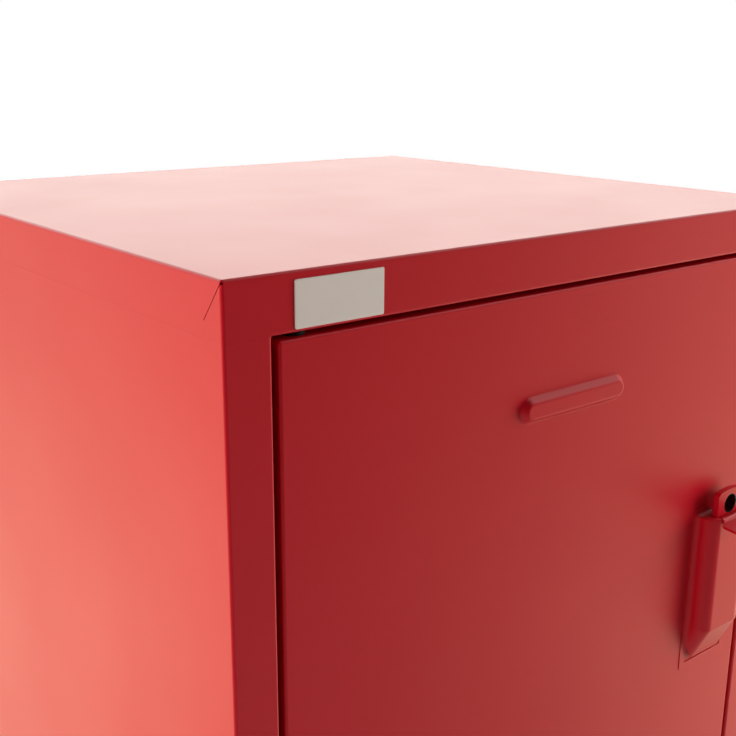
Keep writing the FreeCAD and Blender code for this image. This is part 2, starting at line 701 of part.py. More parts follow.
def housing_back():
    """The opening in the flange, behind the housing's hollow."""
    half = HOUSING_WIDTH / 2 - HOUSING_WALL
    z = (HOUSING_TOP - HOUSING_HEIGHT + HOUSING_WALL, HOUSING_TOP - HOUSING_WALL)
    seam = FRONT - HOUSING_FLANGE_THICKNESS
    return box((HANDLE_X - half, HANDLE_X + half), (seam - HOUSING_WALL, FRONT + 1), z)


def staple_levels():
    """The levels of the staple: its top, the bend to its foot and the foot's end."""
    bend = HOUSING_TOP - STAPLE_INSIDE
    return HOUSING_TOP + STAPLE_ABOVE_HOUSING, bend, bend - STAPLE_FOOT


def staple_rivet_levels():
    """Two rivets through the staple's foot."""
    _, bend, end = staple_levels()
    return (bend - STAPLE_FOOT / 3, end + STAPLE_FOOT / 5)


def padlock_staple():
    """The eye that the padlock goes through, on a strap riveted to the door."""
    top, bend, end = staple_levels()
    left = HANDLE_X - STAPLE_WIDTH / 2
    path = [
        (STAPLE_BACK, top),
        (STAPLE_BACK, bend),
        (FRONT, bend),
        (FRONT, end),
    ]
    path = [(a, b) for a, b in reversed(path)]
    strap = bent_sheet(path, SHEET, STAPLE_THICKNESS, in_yz(left), Vector(STAPLE_WIDTH, 0, 0))
    for side in (-1, 1):
        x = HANDLE_X + side * STAPLE_WIDTH / 2
        corners = [
            Vector(x, STAPLE_FACE - 1, top),
            Vector(x - side * STAPLE_SHOULDER, STAPLE_FACE - 1, top),
            Vector(x, STAPLE_FACE - 1, top - STAPLE_SHOULDER),
            Vector(x, STAPLE_FACE - 1, top),
        ]
        strap = strap.cut(Part.Face(Part.makePolygon(corners)).extrude(
            Vector(0, STAPLE_THICKNESS + 2, 0)))
    eye = rod(HANDLE_X, STAPLE_FACE - 1, HOUSING_TOP + PADLOCK_HOLE_ABOVE_HOUSING,
              PADLOCK_HOLE_RADIUS, STAPLE_THICKNESS + 2, (0, 1, 0))
    holes = [
        rod(HANDLE_X, FRONT - STAPLE_THICKNESS - 1, z, RIVET_RADIUS, STAPLE_THICKNESS + 2, (0, 1, 0))
        for z in staple_rivet_levels()
    ]
    strap = round_edges(
        strap, STAPLE_SHOULDER / 2,
        lambda b: flat_at(b.ZMin, b.ZMax, top - STAPLE_SHOULDER) and b.YLength > FIT,
    )
    return strap.cut([eye] + holes)


def rivet(x, front, back, z):
    """A rivet along Y with a head at each end, clamping what lies between front and back."""
    shank = rod(x, front, z, RIVET_RADIUS, back - front, (0, 1, 0))
    near = rod(x, front - RIVET_HEAD, z, RIVET_HEAD_RADIUS, RIVET_HEAD, (0, 1, 0))
    far = rod(x, back, z, RIVET_HEAD_RADIUS, RIVET_HEAD, (0, 1, 0))
    return shank.fuse([near, far]).removeSplitter()


def staple_rivets():
    """The rivets that hold the staple's foot to the door's skin."""
    return [
        rivet(HANDLE_X, FRONT - STAPLE_THICKNESS, SKIN_BACK, z) for z in staple_rivet_levels()
    ]


def trigger_rivet_levels():
    """Two rivets that join the trigger's tail to the latch bar."""
    tail_low = TRIGGER_LEG_TOP - TRIGGER_TAIL
    return (tail_low + 3 * TRIGGER_TAIL / 5, tail_low + TRIGGER_TAIL / 5)


def trigger_plan():
    """The trigger from above: a wide finger lip with round corners on a neck as wide as the leg."""
    tip, shoulder = FRONT - TRIGGER_REACH, HOUSING_FACE - TRIGGER_NECK
    z = (TRIGGER_LEG_TOP - TRIGGER_TAIL - 1, TRIGGER_TOP + 1)
    lip = box((HANDLE_X - TRIGGER_WIDTH / 2, HANDLE_X + TRIGGER_WIDTH / 2), (tip, shoulder), z)
    for corner, y in ((TRIGGER_CORNER, tip), (TRIGGER_SHOULDER_CORNER, shoulder)):
        lip = round_edges(
            lip, corner, lambda b, y=y: b.XLength < FIT and flat_at(b.YMin, b.YMax, y)
        )
    half = TRIGGER_LEG_WIDTH / 2
    return lip.fuse(box((HANDLE_X - half, HANDLE_X + half), (tip + TRIGGER_CORNER, LATCH_BACK), z))


def lift_trigger():
    """The finger lip, its upright inside the housing, and the leg that reaches the latch bar.

    The lip steps down once it has passed over the housing's front wall.
    """
    tip = FRONT - TRIGGER_REACH
    step = HOUSING_FACE - TRIGGER_STEP_CLEAR
    top_face = [
        (tip, LIP_LEVEL - TRIGGER_DROOP),
        (step - TRIGGER_STEP_RUN, LIP_LEVEL),
        (step, TRIGGER_TOP),
        (TRIGGER_BACK, TRIGGER_TOP),
        (TRIGGER_BACK, TRIGGER_LEG_TOP),
        (LATCH_FACE, TRIGGER_LEG_TOP),
        (LATCH_FACE, TRIGGER_LEG_TOP - TRIGGER_TAIL),
    ]
    left = HANDLE_X - TRIGGER_WIDTH / 2
    path = [(a, b) for a, b in reversed(top_face)]
    blade = bent_sheet(path, TRIGGER_BEND, TRIGGER_THICKNESS, in_yz(left),
                       Vector(TRIGGER_WIDTH, 0, 0))
    blade = blade.common(trigger_plan())
    holes = [
        rod(HANDLE_X, LATCH_FACE - TRIGGER_THICKNESS - 1, z, RIVET_RADIUS,
            TRIGGER_THICKNESS + 2, (0, 1, 0))
        for z in trigger_rivet_levels()
    ]
    return blade.cut(holes)


def latch_bar():
    """The flat bar inside the door, with an arm that ends in a catch at each keeper."""
    low, high = CATCH_LEVELS[0] - CATCH_HEIGHT, CATCH_LEVELS[1] + 2 * CATCH_HEIGHT
    half = LATCH_BAR_WIDTH / 2
    y = (LATCH_FACE, LATCH_BACK)
    bar = box((HANDLE_X - half, HANDLE_X + half), y, (low, high))
    reach = DOOR_HALF_WIDTH - SHEET - CATCH_END_GAP
    arms = [box((HANDLE_X, reach), y, (level, level + CATCH_HEIGHT)) for level in CATCH_LEVELS]
    holes = [
        rod(HANDLE_X, LATCH_FACE - 1, z, RIVET_RADIUS, LATCH_BAR_THICKNESS + 2, (0, 1, 0))
        for z in trigger_rivet_levels()
    ]
    return bar.fuse(arms).removeSplitter().cut(holes)


def latch_rivets():
    """The rivets that join the trigger to the latch bar."""
    return [
        rivet(HANDLE_X, LATCH_FACE - TRIGGER_THICKNESS, LATCH_BACK, z)
        for z in trigger_rivet_levels()
    ]


def lock_channel():
    """The channel behind the skin that the latch bar runs in, slotted for the catches."""
    half = CHANNEL_WIDTH / 2
    web = SKIN_BACK + CHANNEL_DEPTH
    path = [
        (HANDLE_X + half, SKIN_BACK),
        (HANDLE_X + half, web),
        (HANDLE_X - half, web),
        (HANDLE_X - half, SKIN_BACK),
    ]
    low, high = DOOR_LOW + CHANNEL_END_GAP, DOOR_HIGH - CHANNEL_END_GAP
    channel = bent_sheet(path, BEND_INSIDE, SHEET, in_xy(low), Vector(0, 0, high - low))
    slots = [
        box(
            (HANDLE_X + half - SHEET - 1, HANDLE_X + half + 1),
            (SKIN_BACK - 1, LATCH_BACK + FIT),
            (level - FIT, level + CATCH_HEIGHT + LIFT_TRAVEL + FIT),
        )
        for level in CATCH_LEVELS
    ]
    return channel.cut(slots)


def latch_guides():
    """Two nylon blocks, fast in the channel, that the latch bar slides through."""
    half = CHANNEL_WIDTH / 2 - SHEET
    half_slot = LATCH_BAR_WIDTH / 2 + MOVING_GAP
    back = SKIN_BACK + CHANNEL_DEPTH - SHEET
    guides = []
    for middle in (DOOR_MIDDLE - LATCH_GUIDE_SPREAD / 2, DOOR_MIDDLE + LATCH_GUIDE_SPREAD / 2):
        z = (middle - LATCH_GUIDE_HEIGHT / 2, middle + LATCH_GUIDE_HEIGHT / 2)
        block = box((HANDLE_X - half, HANDLE_X + half), (SKIN_BACK, back - BEND_INSIDE), z)
        slot = box(
            (HANDLE_X - half_slot, HANDLE_X + half_slot),
            (LATCH_FACE - MOVING_GAP, LATCH_BACK + MOVING_GAP),
            (z[0] - 1, z[1] + 1),
        )
        guides.append(block.cut(slot))
    return guides


def latch_keepers():
    """Two hooks welded to the right stop flange. Each nib stands in front of a catch."""
    keepers = []
    for level in CATCH_LEVELS:
        nib_top = level + KEEPER_GRIP
        arm_top = level - KEEPER_CLEAR
        arm_low = arm_top - KEEPER_ARM
        nib_front = LATCH_FACE - KEEPER_NIB_RUN - MOVING_GAP
        outline = [
            (STOP_FACE - KEEPER_THICKNESS, arm_low),
            (nib_front, arm_low),
            (nib_front, arm_top),
            (LATCH_FACE - MOVING_GAP - KEEPER_NIB_RUN / 4, nib_top),
            (LATCH_FACE - MOVING_GAP, nib_top),
            (LATCH_FACE - MOVING_GAP, arm_top),
            (STOP_FACE - KEEPER_THICKNESS, arm_top),
            (STOP_FACE - KEEPER_THICKNESS, arm_low),
        ]
        corners = [Vector(KEEPER_X - KEEPER_THICKNESS / 2, a, b) for a, b in outline]
        hook = Part.Face(Part.makePolygon(corners)).extrude(Vector(KEEPER_THICKNESS, 0, 0))
        foot_middle = arm_top - KEEPER_ARM / 2
        foot = box(
            (KEEPER_X - 2 * KEEPER_THICKNESS, DOOR_HALF_WIDTH),
            (STOP_FACE - KEEPER_THICKNESS, STOP_FACE),
            (foot_middle - KEEPER_FOOT_HEIGHT / 2, foot_middle + KEEPER_FOOT_HEIGHT / 2),
        )
        keepers.append(hook.fuse(foot).removeSplitter())
    return keepers


def door_bumpers():
    """Two rubber pads on the right stop flange that the closed door lies against."""
    thickness = STOP_FACE - DOOR_BACK - MOVING_GAP
    x = DOOR_HALF_WIDTH - DOOR_RETURN / 2
    return [
        rod(x, STOP_FACE - thickness, DOOR_MIDDLE + side * BUMPER_SPREAD / 2, BUMPER_RADIUS,
            thickness, (0, 1, 0))
        for side in (-1, 1)
    ]


def castor_plate(x, y):
    """A castor's bolting plate, with the fixed upper race under it."""
    half = CASTOR_PLATE_SIDE / 2
    plate = box((x - half, x + half), (y - half, y + half), (PLATE_LOW, FOOT))
    plate = round_edges(
        plate, CASTOR_PLATE_CORNER, lambda b: b.ZLength > CASTOR_PLATE_THICKNESS / 2
    )
    race = rod(x, y, RACE_LOW, RACE_RADIUS, RACE_HEIGHT)
    pitch = CASTOR_BOLT_SPACING / 2
    hole = CASTOR_BOLT_RADIUS + CASTOR_BOLT_CLEARANCE
    holes = [
        rod(x + dx, y + dy, PLATE_LOW - 1, hole, CASTOR_PLATE_THICKNESS + 2)
        for dx in (-pitch, pitch)
        for dy in (-pitch, pitch)
    ]
    kingpin_hole = rod(x, y, RACE_LOW - 1, KINGPIN_RADIUS, RACE_HEIGHT + 1)
    return plate.fuse(race).cut(holes + [kingpin_hole]).removeSplitter()


def castor_bearing(x, y):
    """The ball race between the fixed race and the fork's crown."""
    low = CROWN_HIGH + MOVING_GAP
    ring = rod(x, y, low, RACE_RADIUS - FORK_SHEET, RACE_LOW - low)
    return ring.cut(rod(x, y, low - 1, KINGPIN_RADIUS, RACE_LOW - low + 2))


def castor_kingpin(x, y):
    """The rivet that hangs the fork from the plate and lets it swivel."""
    head_top = CROWN_LOW - MOVING_GAP
    shank = rod(x, y, head_top, KINGPIN_RADIUS, RACE_LOW + RACE_HEIGHT - head_top)
    head = rod(x, y, head_top - KINGPIN_HEAD, KINGPIN_HEAD_RADIUS, KINGPIN_HEAD)
    return shank.fuse(head).removeSplitter()


def castor_bolts():
    """The bolts through the base pan and the castor plates."""
    low = PLATE_LOW - NUT_HEIGHT - CASTOR_BOLT_TAIL
    bolts = []
    for x, y in castor_bolt_places():
        shank = rod(x, y, low, CASTOR_BOLT_RADIUS, FOOT + SHEET - low)
        head = hexagon(x, y, FOOT + SHEET, CASTOR_BOLT_ACROSS_FLATS, HEAD_HEIGHT)
        bolts.append(shank.fuse(head).removeSplitter())
    return bolts


def castor_nuts():
    """The nuts under the castor plates."""
    nuts = []
    for x, y in castor_bolt_places():
        nut = hexagon(x, y, PLATE_LOW - NUT_HEIGHT, CASTOR_BOLT_ACROSS_FLATS, NUT_HEIGHT)
        bore = rod(x, y, PLATE_LOW - NUT_HEIGHT - 1, CASTOR_BOLT_RADIUS, NUT_HEIGHT + 2)
        nuts.append(nut.cut(bore))
    return nuts


def castor_fork(x, y):
    """The fork: a crown under the race and two legs that trail back to the axle."""
    axle_y = CASTOR_TRAIL
    crown_front = -RACE_RADIUS + FORK_FRONT_SET_BACK
    crown_rear = RACE_RADIUS + FORK_REAR_OVERHANG
    outline = [
        (crown_front, CROWN_HIGH),
        (crown_rear, CROWN_HIGH),
        (axle_y + AXLE_EYE, AXLE_Z),
        (axle_y - AXLE_EYE, AXLE_Z),
        (crown_front, CROWN_HIGH),
    ]
    legs = []
    for inner, outer in ((-LEG_OUTER, -LEG_INNER), (LEG_INNER, LEG_OUTER)):
        leg = Part.Face(Part.makePolygon([Vector(inner, a, b) for a, b in outline])).extrude(
            Vector(outer - inner, 0, 0)
        )
        eye = rod(inner, axle_y, AXLE_Z, AXLE_EYE, outer - inner, (1, 0, 0))
        legs.append(leg.fuse(eye))
    crown = box((-LEG_OUTER, LEG_OUTER), (crown_front, crown_rear), (CROWN_LOW, CROWN_HIGH))
    bent = round_edges(
        crown.fuse(legs).removeSplitter(), FORK_BEND,
        lambda b: flat_at(b.ZMin, b.ZMax, CROWN_HIGH) and b.XLength < FIT,
    )
    disc = rod(0, 0, CROWN_LOW, RACE_RADIUS, FORK_SHEET)
    fork = bent.fuse(disc).cut([
        rod(0, 0, CROWN_LOW - 1, KINGPIN_RADIUS + MOVING_GAP, FORK_SHEET + 2),
        rod(-LEG_OUTER - 1, axle_y, AXLE_Z, AXLE_RADIUS, 2 * LEG_OUTER + 2, (1, 0, 0)),
    ])
    fork = fork.removeSplitter()
    fork.translate(Vector(x, y, 0))
    return fork


def castor_axle(x, y):
    """The axle bolt and its nut."""
    axle_y = y + CASTOR_TRAIL
    shank = rod(x - LEG_OUTER, axle_y, AXLE_Z, AXLE_RADIUS,
                2 * LEG_OUTER + NUT_HEIGHT + AXLE_TAIL, (1, 0, 0))
    head = hexagon(x - LEG_OUTER - HEAD_HEIGHT, axle_y, AXLE_Z, AXLE_ACROSS_FLATS, HEAD_HEIGHT,
                   (1, 0, 0))
    nut = hexagon(x + LEG_OUTER, axle_y, AXLE_Z, AXLE_ACROSS_FLATS, NUT_HEIGHT, (1, 0, 0))
    return [
        shank.fuse(head).removeSplitter(),
        nut.cut(rod(x + LEG_OUTER - 1, axle_y, AXLE_Z, AXLE_RADIUS, NUT_HEIGHT + 2, (1, 0, 0))),
    ]


def turned(profile, x, y):
    """A body of revolution about the wheel's axle, from points (radius, offset along the axle)."""
    points = [Vector(offset, 0, radius) for radius, offset in profile + profile[:1]]
    solid = Part.Face(Part.makePolygon(points)).revolve(Vector(0, 0, 0), Vector(1, 0, 0), 360)
    solid.translate(Vector(x, y + CASTOR_TRAIL, AXLE_Z))
    return solid


def castor_tyre(x, y):
    """The grey rubber tread."""
    half = WHEEL_WIDTH / 2
    inner = WHEEL_RADIUS - TYRE_DEPTH
    shoulder = half - TYRE_CHAMFER
    return turned(
        [(inner, -half), (WHEEL_RADIUS - TYRE_CHAMFER, -half), (WHEEL_RADIUS, -shoulder),
         (WHEEL_RADIUS, shoulder), (WHEEL_RADIUS - TYRE_CHAMFER, half), (inner, half)], x, y)


def castor_hub(x, y):
    """The plastic wheel centre: rim, web and a boss that runs on the axle."""
    rim_outer = WHEEL_RADIUS - TYRE_DEPTH
    rim_inner = rim_outer - HUB_RIM
    rim_half = WHEEL_WIDTH / 2 - HUB_RIM_SET_IN
    bore = AXLE_RADIUS + AXLE_RUNNING_GAP
    web = HUB_WEB / 2
    return turned(
        [(bore, -HUB_HALF), (HUB_BOSS_RADIUS, -HUB_HALF), (HUB_BOSS_RADIUS, -web),
         (rim_inner, -web), (rim_inner, -rim_half), (rim_outer, -rim_half),
         (rim_outer, rim_half), (rim_inner, rim_half), (rim_inner, web),
         (HUB_BOSS_RADIUS, web), (HUB_BOSS_RADIUS, HUB_HALF), (bore, HUB_HALF)], x, y)


def brake_pedal(x, y):
    """The foot brake: two arms outside the fork, a shoe over the tread and a tread plate."""
    inner = LEG_OUTER + MOVING_GAP
    outer = inner + BRAKE_SHEET
    reach = WHEEL_RADIUS + BRAKE_SHOE_GAP
    angle = math.radians(BRAKE_SHOE_ANGLE)
    shoe_y = CASTOR_TRAIL + reach * math.cos(angle)
    shoe_z = AXLE_Z + reach * math.sin(angle)
    tread_y = shoe_y + BRAKE_TREAD
    plate_z = shoe_z + BRAKE_TREAD_RISE
    arm_y = BRAKE_PIVOT_Y - BRAKE_ARM_OVERHANG
    arm_low, arm_high = (BRAKE_PIVOT_Z + side * BRAKE_ARM_HEIGHT / 2 for side in (-1, 1))
    outline = [
        (arm_y, arm_low),
        (arm_y, arm_high),
        (shoe_y, plate_z),
        (tread_y, plate_z),
        (tread_y, plate_z - BRAKE_SHEET),
        (shoe_y + BRAKE_SHEET, shoe_z - BRAKE_SHOE_OVERLAP),
        (arm_y, arm_low),
    ]
    arms = [
        Part.Face(Part.makePolygon([Vector(low, a, b) for a, b in outline])).extrude(
            Vector(high - low, 0, 0)
        )
        for low, high in ((-outer, -inner), (inner, outer))
    ]
    tread = box((-outer, outer), (shoe_y, tread_y), (plate_z - BRAKE_SHEET, plate_z))
    shoe = box((-outer, outer), (shoe_y, shoe_y + BRAKE_SHEET), (shoe_z, plate_z))
    pedal = tread.fuse(arms + [shoe])
    pedal = pedal.cut(rod(-outer - 1, BRAKE_PIVOT_Y, BRAKE_PIVOT_Z,
                          BRAKE_PIVOT_RADIUS + PIN_RUNNING_GAP, 2 * outer + 2, (1, 0, 0)))
    pedal = pedal.removeSplitter()
    pedal.translate(Vector(x, y, 0))
    return pedal


def brake_rivets(x, y):
    """Two shouldered rivets in the fork's legs that the brake pedal turns on."""
    rivets = []
    for side in (-1, 1):
        start = x + side * LEG_OUTER
        length = MOVING_GAP + BRAKE_SHEET + MOVING_GAP
        way = (side, 0, 0)
        shank = rod(start, y + BRAKE_PIVOT_Y, BRAKE_PIVOT_Z, BRAKE_PIVOT_RADIUS, length, way)
        head = rod(start + side * length, y + BRAKE_PIVOT_Y, BRAKE_PIVOT_Z,
                   BRAKE_PIVOT_RADIUS + BRAKE_RIVET_RIM, RIVET_HEAD, way)
        rivets.append(shank.fuse(head).removeSplitter())
    return rivets


def pieces():
    """Every node's solids, by the node's name."""
    found = {
        "top_pan": [pan()],
        "base_pan": [base_pan()],
        "left_side_panel": [side_panel(False)],
        "right_side_panel": [mirrored_x(side_panel(True))],
        "back_panel": [back_panel()],
        "floor_tray": [floor_tray()],
        "shelf": [shelf()],
        "shelf_clips": shelf_clips(),
        "latch_keepers": latch_keepers(),
        "door_bumpers": door_bumpers(),
        "upper_hinge_pin": [hinge_pin(True)],
        "lower_hinge_pin": [hinge_pin(False)],
        "door_skin": [door_skin()],
        "upper_hinge_bush": [hinge_bush(True)],
        "lower_hinge_bush": [hinge_bush(False)],
        "lock_channel": [lock_channel()],
        "latch_guides": latch_guides(),
        "handle_housing": [handle_housing()],
        "padlock_staple": [padlock_staple()],
        "staple_rivets": staple_rivets(),
        "lift_trigger": [lift_trigger()],
        "latch_bar": [latch_bar()],
        "latch_rivets": latch_rivets(),
        "castor_bolts": castor_bolts(),
        "castor_nuts": castor_nuts(),
    }
    centres = castor_centres()
    found["castor_plates"] = [castor_plate(x, y) for x, y in centres.values()]
    found["castor_bearings"] = [castor_bearing(x, y) for x, y in centres.values()]
    found["castor_kingpins"] = [castor_kingpin(x, y) for x, y in centres.values()]
    for name, (x, y) in centres.items():
        found[f"{name}_fork"] = [castor_fork(x, y)]
        found[f"{name}_axle"] = castor_axle(x, y)
        found[f"{name}_tyre"] = [castor_tyre(x, y)]
        found[f"{name}_hub"] = [castor_hub(x, y)]
        if name.startswith("front"):
            found[f"{name}_brake_pedal"] = [brake_pedal(x, y)]
            found[f"{name}_brake_rivets"] = brake_rivets(x, y)
    return found


def main():
    os.makedirs("parts", exist_ok=True)
    for name, solids in pieces().items():
        shape = solids[0] if len(solids) == 1 else Part.makeCompound(solids)
        bad = [solid for solid in solids if not solid.isValid() or len(solid.Solids) != 1]
        print(f"{name}: {len(shape.Solids)} solids, {shape.Volume:.0f} mm3"
              + (", NOT VALID" if bad else ""))
        shape.exportStep(f"parts/{name}.step")


main()
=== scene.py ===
# %% [markdown]
# # A red tool cabinet, dressed for its portrait
#
# The cabinet arrives as solid, measured pieces: folded sheet-steel pans and panels, a hinged door,
# a lift handle and four castors. What it lacks is everything the eye reads as material. This lesson
# gives each piece its finish, adds the few pieces too thin to be worth a solid, and then builds the
# small studio that the cabinet stands in.

# %% Load the model
import json
import math

import bmesh
import bpy
from mathutils import Matrix, Vector


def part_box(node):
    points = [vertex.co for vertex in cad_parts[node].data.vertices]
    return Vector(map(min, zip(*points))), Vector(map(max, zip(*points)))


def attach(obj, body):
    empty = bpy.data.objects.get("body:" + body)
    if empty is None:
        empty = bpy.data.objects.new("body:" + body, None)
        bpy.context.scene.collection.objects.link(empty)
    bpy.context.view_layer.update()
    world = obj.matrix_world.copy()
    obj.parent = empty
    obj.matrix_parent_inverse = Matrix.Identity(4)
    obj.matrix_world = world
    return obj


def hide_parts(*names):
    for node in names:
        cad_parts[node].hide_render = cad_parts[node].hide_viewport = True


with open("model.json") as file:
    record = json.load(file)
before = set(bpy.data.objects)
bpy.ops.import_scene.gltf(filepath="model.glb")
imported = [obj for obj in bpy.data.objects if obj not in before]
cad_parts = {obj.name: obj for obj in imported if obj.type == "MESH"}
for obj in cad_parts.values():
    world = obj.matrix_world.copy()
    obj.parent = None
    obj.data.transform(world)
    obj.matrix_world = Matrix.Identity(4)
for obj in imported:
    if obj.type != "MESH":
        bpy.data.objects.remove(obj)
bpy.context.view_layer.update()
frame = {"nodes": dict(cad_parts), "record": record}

# %% [markdown]
# Places are easiest to keep right when they come from the model itself. The top pan gives the
# cabinet's front plane, its left side and its top. What is added later is set out from those, or
# from the box of the piece that it sits on.

# %% Where the cabinet is
pan_low, pan_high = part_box("top_pan")
LEFT, RIGHT = pan_low[0], pan_high[0]
FRONT, BACK = pan_low[1], pan_high[1]
TOP = pan_high[2]
MM = 0.001
print("width", round((RIGHT - LEFT) / MM), "depth", round((BACK - FRONT) / MM),
      "top at", round(TOP / MM))

# %% [markdown]
# ## Finishes as graphs
#
# A material is a small graph of nodes, and two things happen in it all the time: a node is added,
# and a socket gets either a plain value or a link from another node. It could be written out line
# by line. Short helpers are used instead, so that each finish reads as a list of what makes it.

# %% Helpers for nodes and sockets
def plug(tree, value, socket):
    """Links a socket to another one, or sets it to a plain value."""
    if isinstance(value, bpy.types.NodeSocket):
        tree.links.new(value, socket)
    else:
        socket.default_value = value


def connect(tree, node, **inputs):
    """Fills a node's sockets by their names, with underscores for spaces."""
    for name, value in inputs.items():
        plug(tree, value, node.inputs[name.replace("_", " ")])


def add(tree, kind, **inputs):
    """Adds a node and fills its sockets."""
    node = tree.nodes.new(kind)
    connect(tree, node, **inputs)
    return node


def new_material(name):
    """A new principled material: returns it, its tree and its shader."""
    material = bpy.data.materials.new(name)
    material.use_nodes = True
    tree = material.node_tree
    return material, tree, tree.nodes["Principled BSDF"]


print("materials before dressing:", len(bpy.data.materials))

# %% [markdown]
# Real surfaces are never quite even. A noise over the object's own coordinates gives the
# unevenness. They are in metres, so a noise scale of 900 means grains about a millimetre wide. The
# noise hardly leaves the range from 0.3 to 0.7, and a map range node stretches that to any two
# numbers. The same noise can also blend two colours, or raise the surface as a bump.

# %% Helpers for uneven surfaces
NOISE_LOW, NOISE_HIGH = 0.3, 0.7


def noise(tree, scale, detail, roughness=0.5):
    """A noise over the object's own coordinates. Returns its value's socket."""
    place = tree.nodes.new("ShaderNodeTexCoord").outputs["Object"]
    node = add(tree, "ShaderNodeTexNoise", Vector=place, Scale=scale, Detail=detail,
               Roughness=roughness)
    return node.outputs["Fac"]


def map_range(tree, value, start, end, at_start, at_end, curve="LINEAR"):
    """Takes a number from one range to another and holds it at the ends."""
    node = add(tree, "ShaderNodeMapRange", Value=value, From_Min=start, From_Max=end,
               To_Min=at_start, To_Max=at_end)
    node.interpolation_type = curve
    return node.outputs["Result"]


def spread(tree, factor, low, high):
    """Turns a noise into a number between low and high."""
    return map_range(tree, factor, NOISE_LOW, NOISE_HIGH, low, high)


def between(tree, factor, first, second):
    """Blends two colours by a factor."""
    node = tree.nodes.new("ShaderNodeMix")
    node.data_type = "RGBA"
    node.inputs["A"].default_value = (*first, 1.0)
    node.inputs["B"].default_value = (*second, 1.0)
    tree.links.new(factor, node.inputs["Factor"])
    return node.outputs["Result"]


def bump(tree, height, distance, before=None):
    """Raises the surface by a height, on top of the bump before it if there is one."""
    inputs = {"Height": height, "Distance": distance, "Strength": 1.0}
    if before is not None:
        inputs["Normal"] = before
    return add(tree, "ShaderNodeBump", **inputs).outputs["Normal"]


print("a noise is read from", NOISE_LOW, "to", NOISE_HIGH)

# %% [markdown]
# ## Powder coat
#
# The steel is powder-coated: dry paint that is baked until it flows. It ends up satin, never quite
# flat, with an orange-peel grain about a millimetre wide, and the sheet under it is slightly wavy
# from folding. Paint could be one red with one roughness, but then large panels look like plastic.
# Here a slow noise shifts the red a little, a finer one varies the gloss, and two bumps carry the
# grain and the waves. The waves are what bends a reflection on a real panel.

# %% Red powder coat
ORANGE_PEEL, SHEET_WAVE = 0.008 * MM, 0.10 * MM


def powder_coat(name, red, deep_red, roughness):
    """Baked paint on folded sheet. Its gloss varies by about a hundredth."""
    material, tree, shader = new_material(name)
    drift = noise(tree, scale=7.0, detail=2.0)
    gloss = noise(tree, scale=14.0, detail=2.0)
    grain = noise(tree, scale=850.0, detail=2.0)
    wave = noise(tree, scale=5.0, detail=1.0)
    connect(
        tree, shader,
        Base_Color=between(tree, drift, red, deep_red),
        Roughness=spread(tree, gloss, low=roughness - 0.01, high=roughness + 0.015),
        Specular_IOR_Level=0.5,
        Normal=bump(tree, grain, ORANGE_PEEL, before=bump(tree, wave, SHEET_WAVE)),
    )
    return material


red_paint = powder_coat("red_powder_coat", red=(0.62, 0.004, 0.017),
                        deep_red=(0.59, 0.003, 0.015), roughness=0.43)
# A deeper, rougher copy of the red for the pieces inside the cabinet: painted shade.
shaded_inside_paint = powder_coat("red_powder_coat_painted_shade", red=(0.54, 0.004, 0.014),
                           deep_red=(0.50, 0.003, 0.012), roughness=0.50)
print("paint:", red_paint.name, shaded_inside_paint.name)

# %% [markdown]
# ## Zinc plate
#
# The castors, the latch bar and the fasteners are zinc-plated. Zinc is a dull silver with a faint
# cool and warm drift from its passivation, and handling leaves it blotchy. A metallic shader with
# noise in both colour and roughness shows that, where a plain grey would look like paint. The fine
# bump is the blasted grain of the stampings.

# %% Zinc-plated steel
STAMPING_GRAIN = 0.015 * MM


def zinc_plate(name, light, dark, roughness):
    """Dull zinc, blotchy in its colour and smeared in its gloss."""
    material, tree, shader = new_material(name)
    blotch = noise(tree, scale=90.0, detail=5.0, roughness=0.6)
    smear = noise(tree, scale=420.0, detail=3.0)
    grain = noise(tree, scale=1600.0, detail=2.0)
    connect(
        tree, shader,
        Base_Color=between(tree, blotch, light, dark),
        Metallic=1.0,
        Roughness=spread(tree, smear, low=roughness - 0.08, high=roughness + 0.10),
        Normal=bump(tree, grain, STAMPING_GRAIN),
    )
    return material


zinc = zinc_plate("zinc_plate", light=(0.74, 0.75, 0.76), dark=(0.62, 0.62, 0.58), roughness=0.34)
print("metal:", zinc.name)

# %% [markdown]
# ## Plastic and rubber
#
# The wheel centres are moulded plastic, the latch guides are natural nylon, the hinge bushes are
# black nylon, the pads are black rubber and the treads are grey rubber, a little dusty. They are
# all the same idea: a dull colour, a broad uneven gloss and a fine bump. One function makes them
# and the numbers tell them apart.

# %% Moulded plastic and rubber
def moulded(name, light, dark, roughness, grain_scale, grain_depth, reflection=0.5):
    """A moulded material. The reflection is how strongly it mirrors, 0.5 being usual."""
    material, tree, shader = new_material(name)
    patch = noise(tree, scale=45.0, detail=4.0)
    grain = noise(tree, grain_scale, detail=3.0)
    connect(
        tree, shader,
        Base_Color=between(tree, patch, light, dark),
        Roughness=spread(tree, patch, low=roughness - 0.06, high=roughness + 0.06),
        Specular_IOR_Level=reflection,
        Normal=bump(tree, grain, grain_depth),
    )
    return material


hub_plastic = moulded("hub_plastic", light=(0.060, 0.060, 0.064), dark=(0.042, 0.042, 0.046),
                      roughness=0.42, grain_scale=700.0, grain_depth=0.02 * MM)
nylon = moulded("nylon", light=(0.78, 0.76, 0.70), dark=(0.70, 0.68, 0.62),
                roughness=0.45, grain_scale=500.0, grain_depth=0.01 * MM)
black_nylon = moulded("black_nylon", light=(0.022, 0.022, 0.023), dark=(0.014, 0.014, 0.015),
                      roughness=0.55, grain_scale=500.0, grain_depth=0.01 * MM)
pad_rubber = moulded("pad_rubber", light=(0.030, 0.030, 0.030), dark=(0.020, 0.020, 0.020),
                     roughness=0.75, grain_scale=900.0, grain_depth=0.03 * MM, reflection=0.35)
tread_rubber = moulded("tread_rubber", light=(0.235, 0.235, 0.240), dark=(0.180, 0.180, 0.184),
                       roughness=0.68, grain_scale=650.0, grain_depth=0.04 * MM, reflection=0.4)
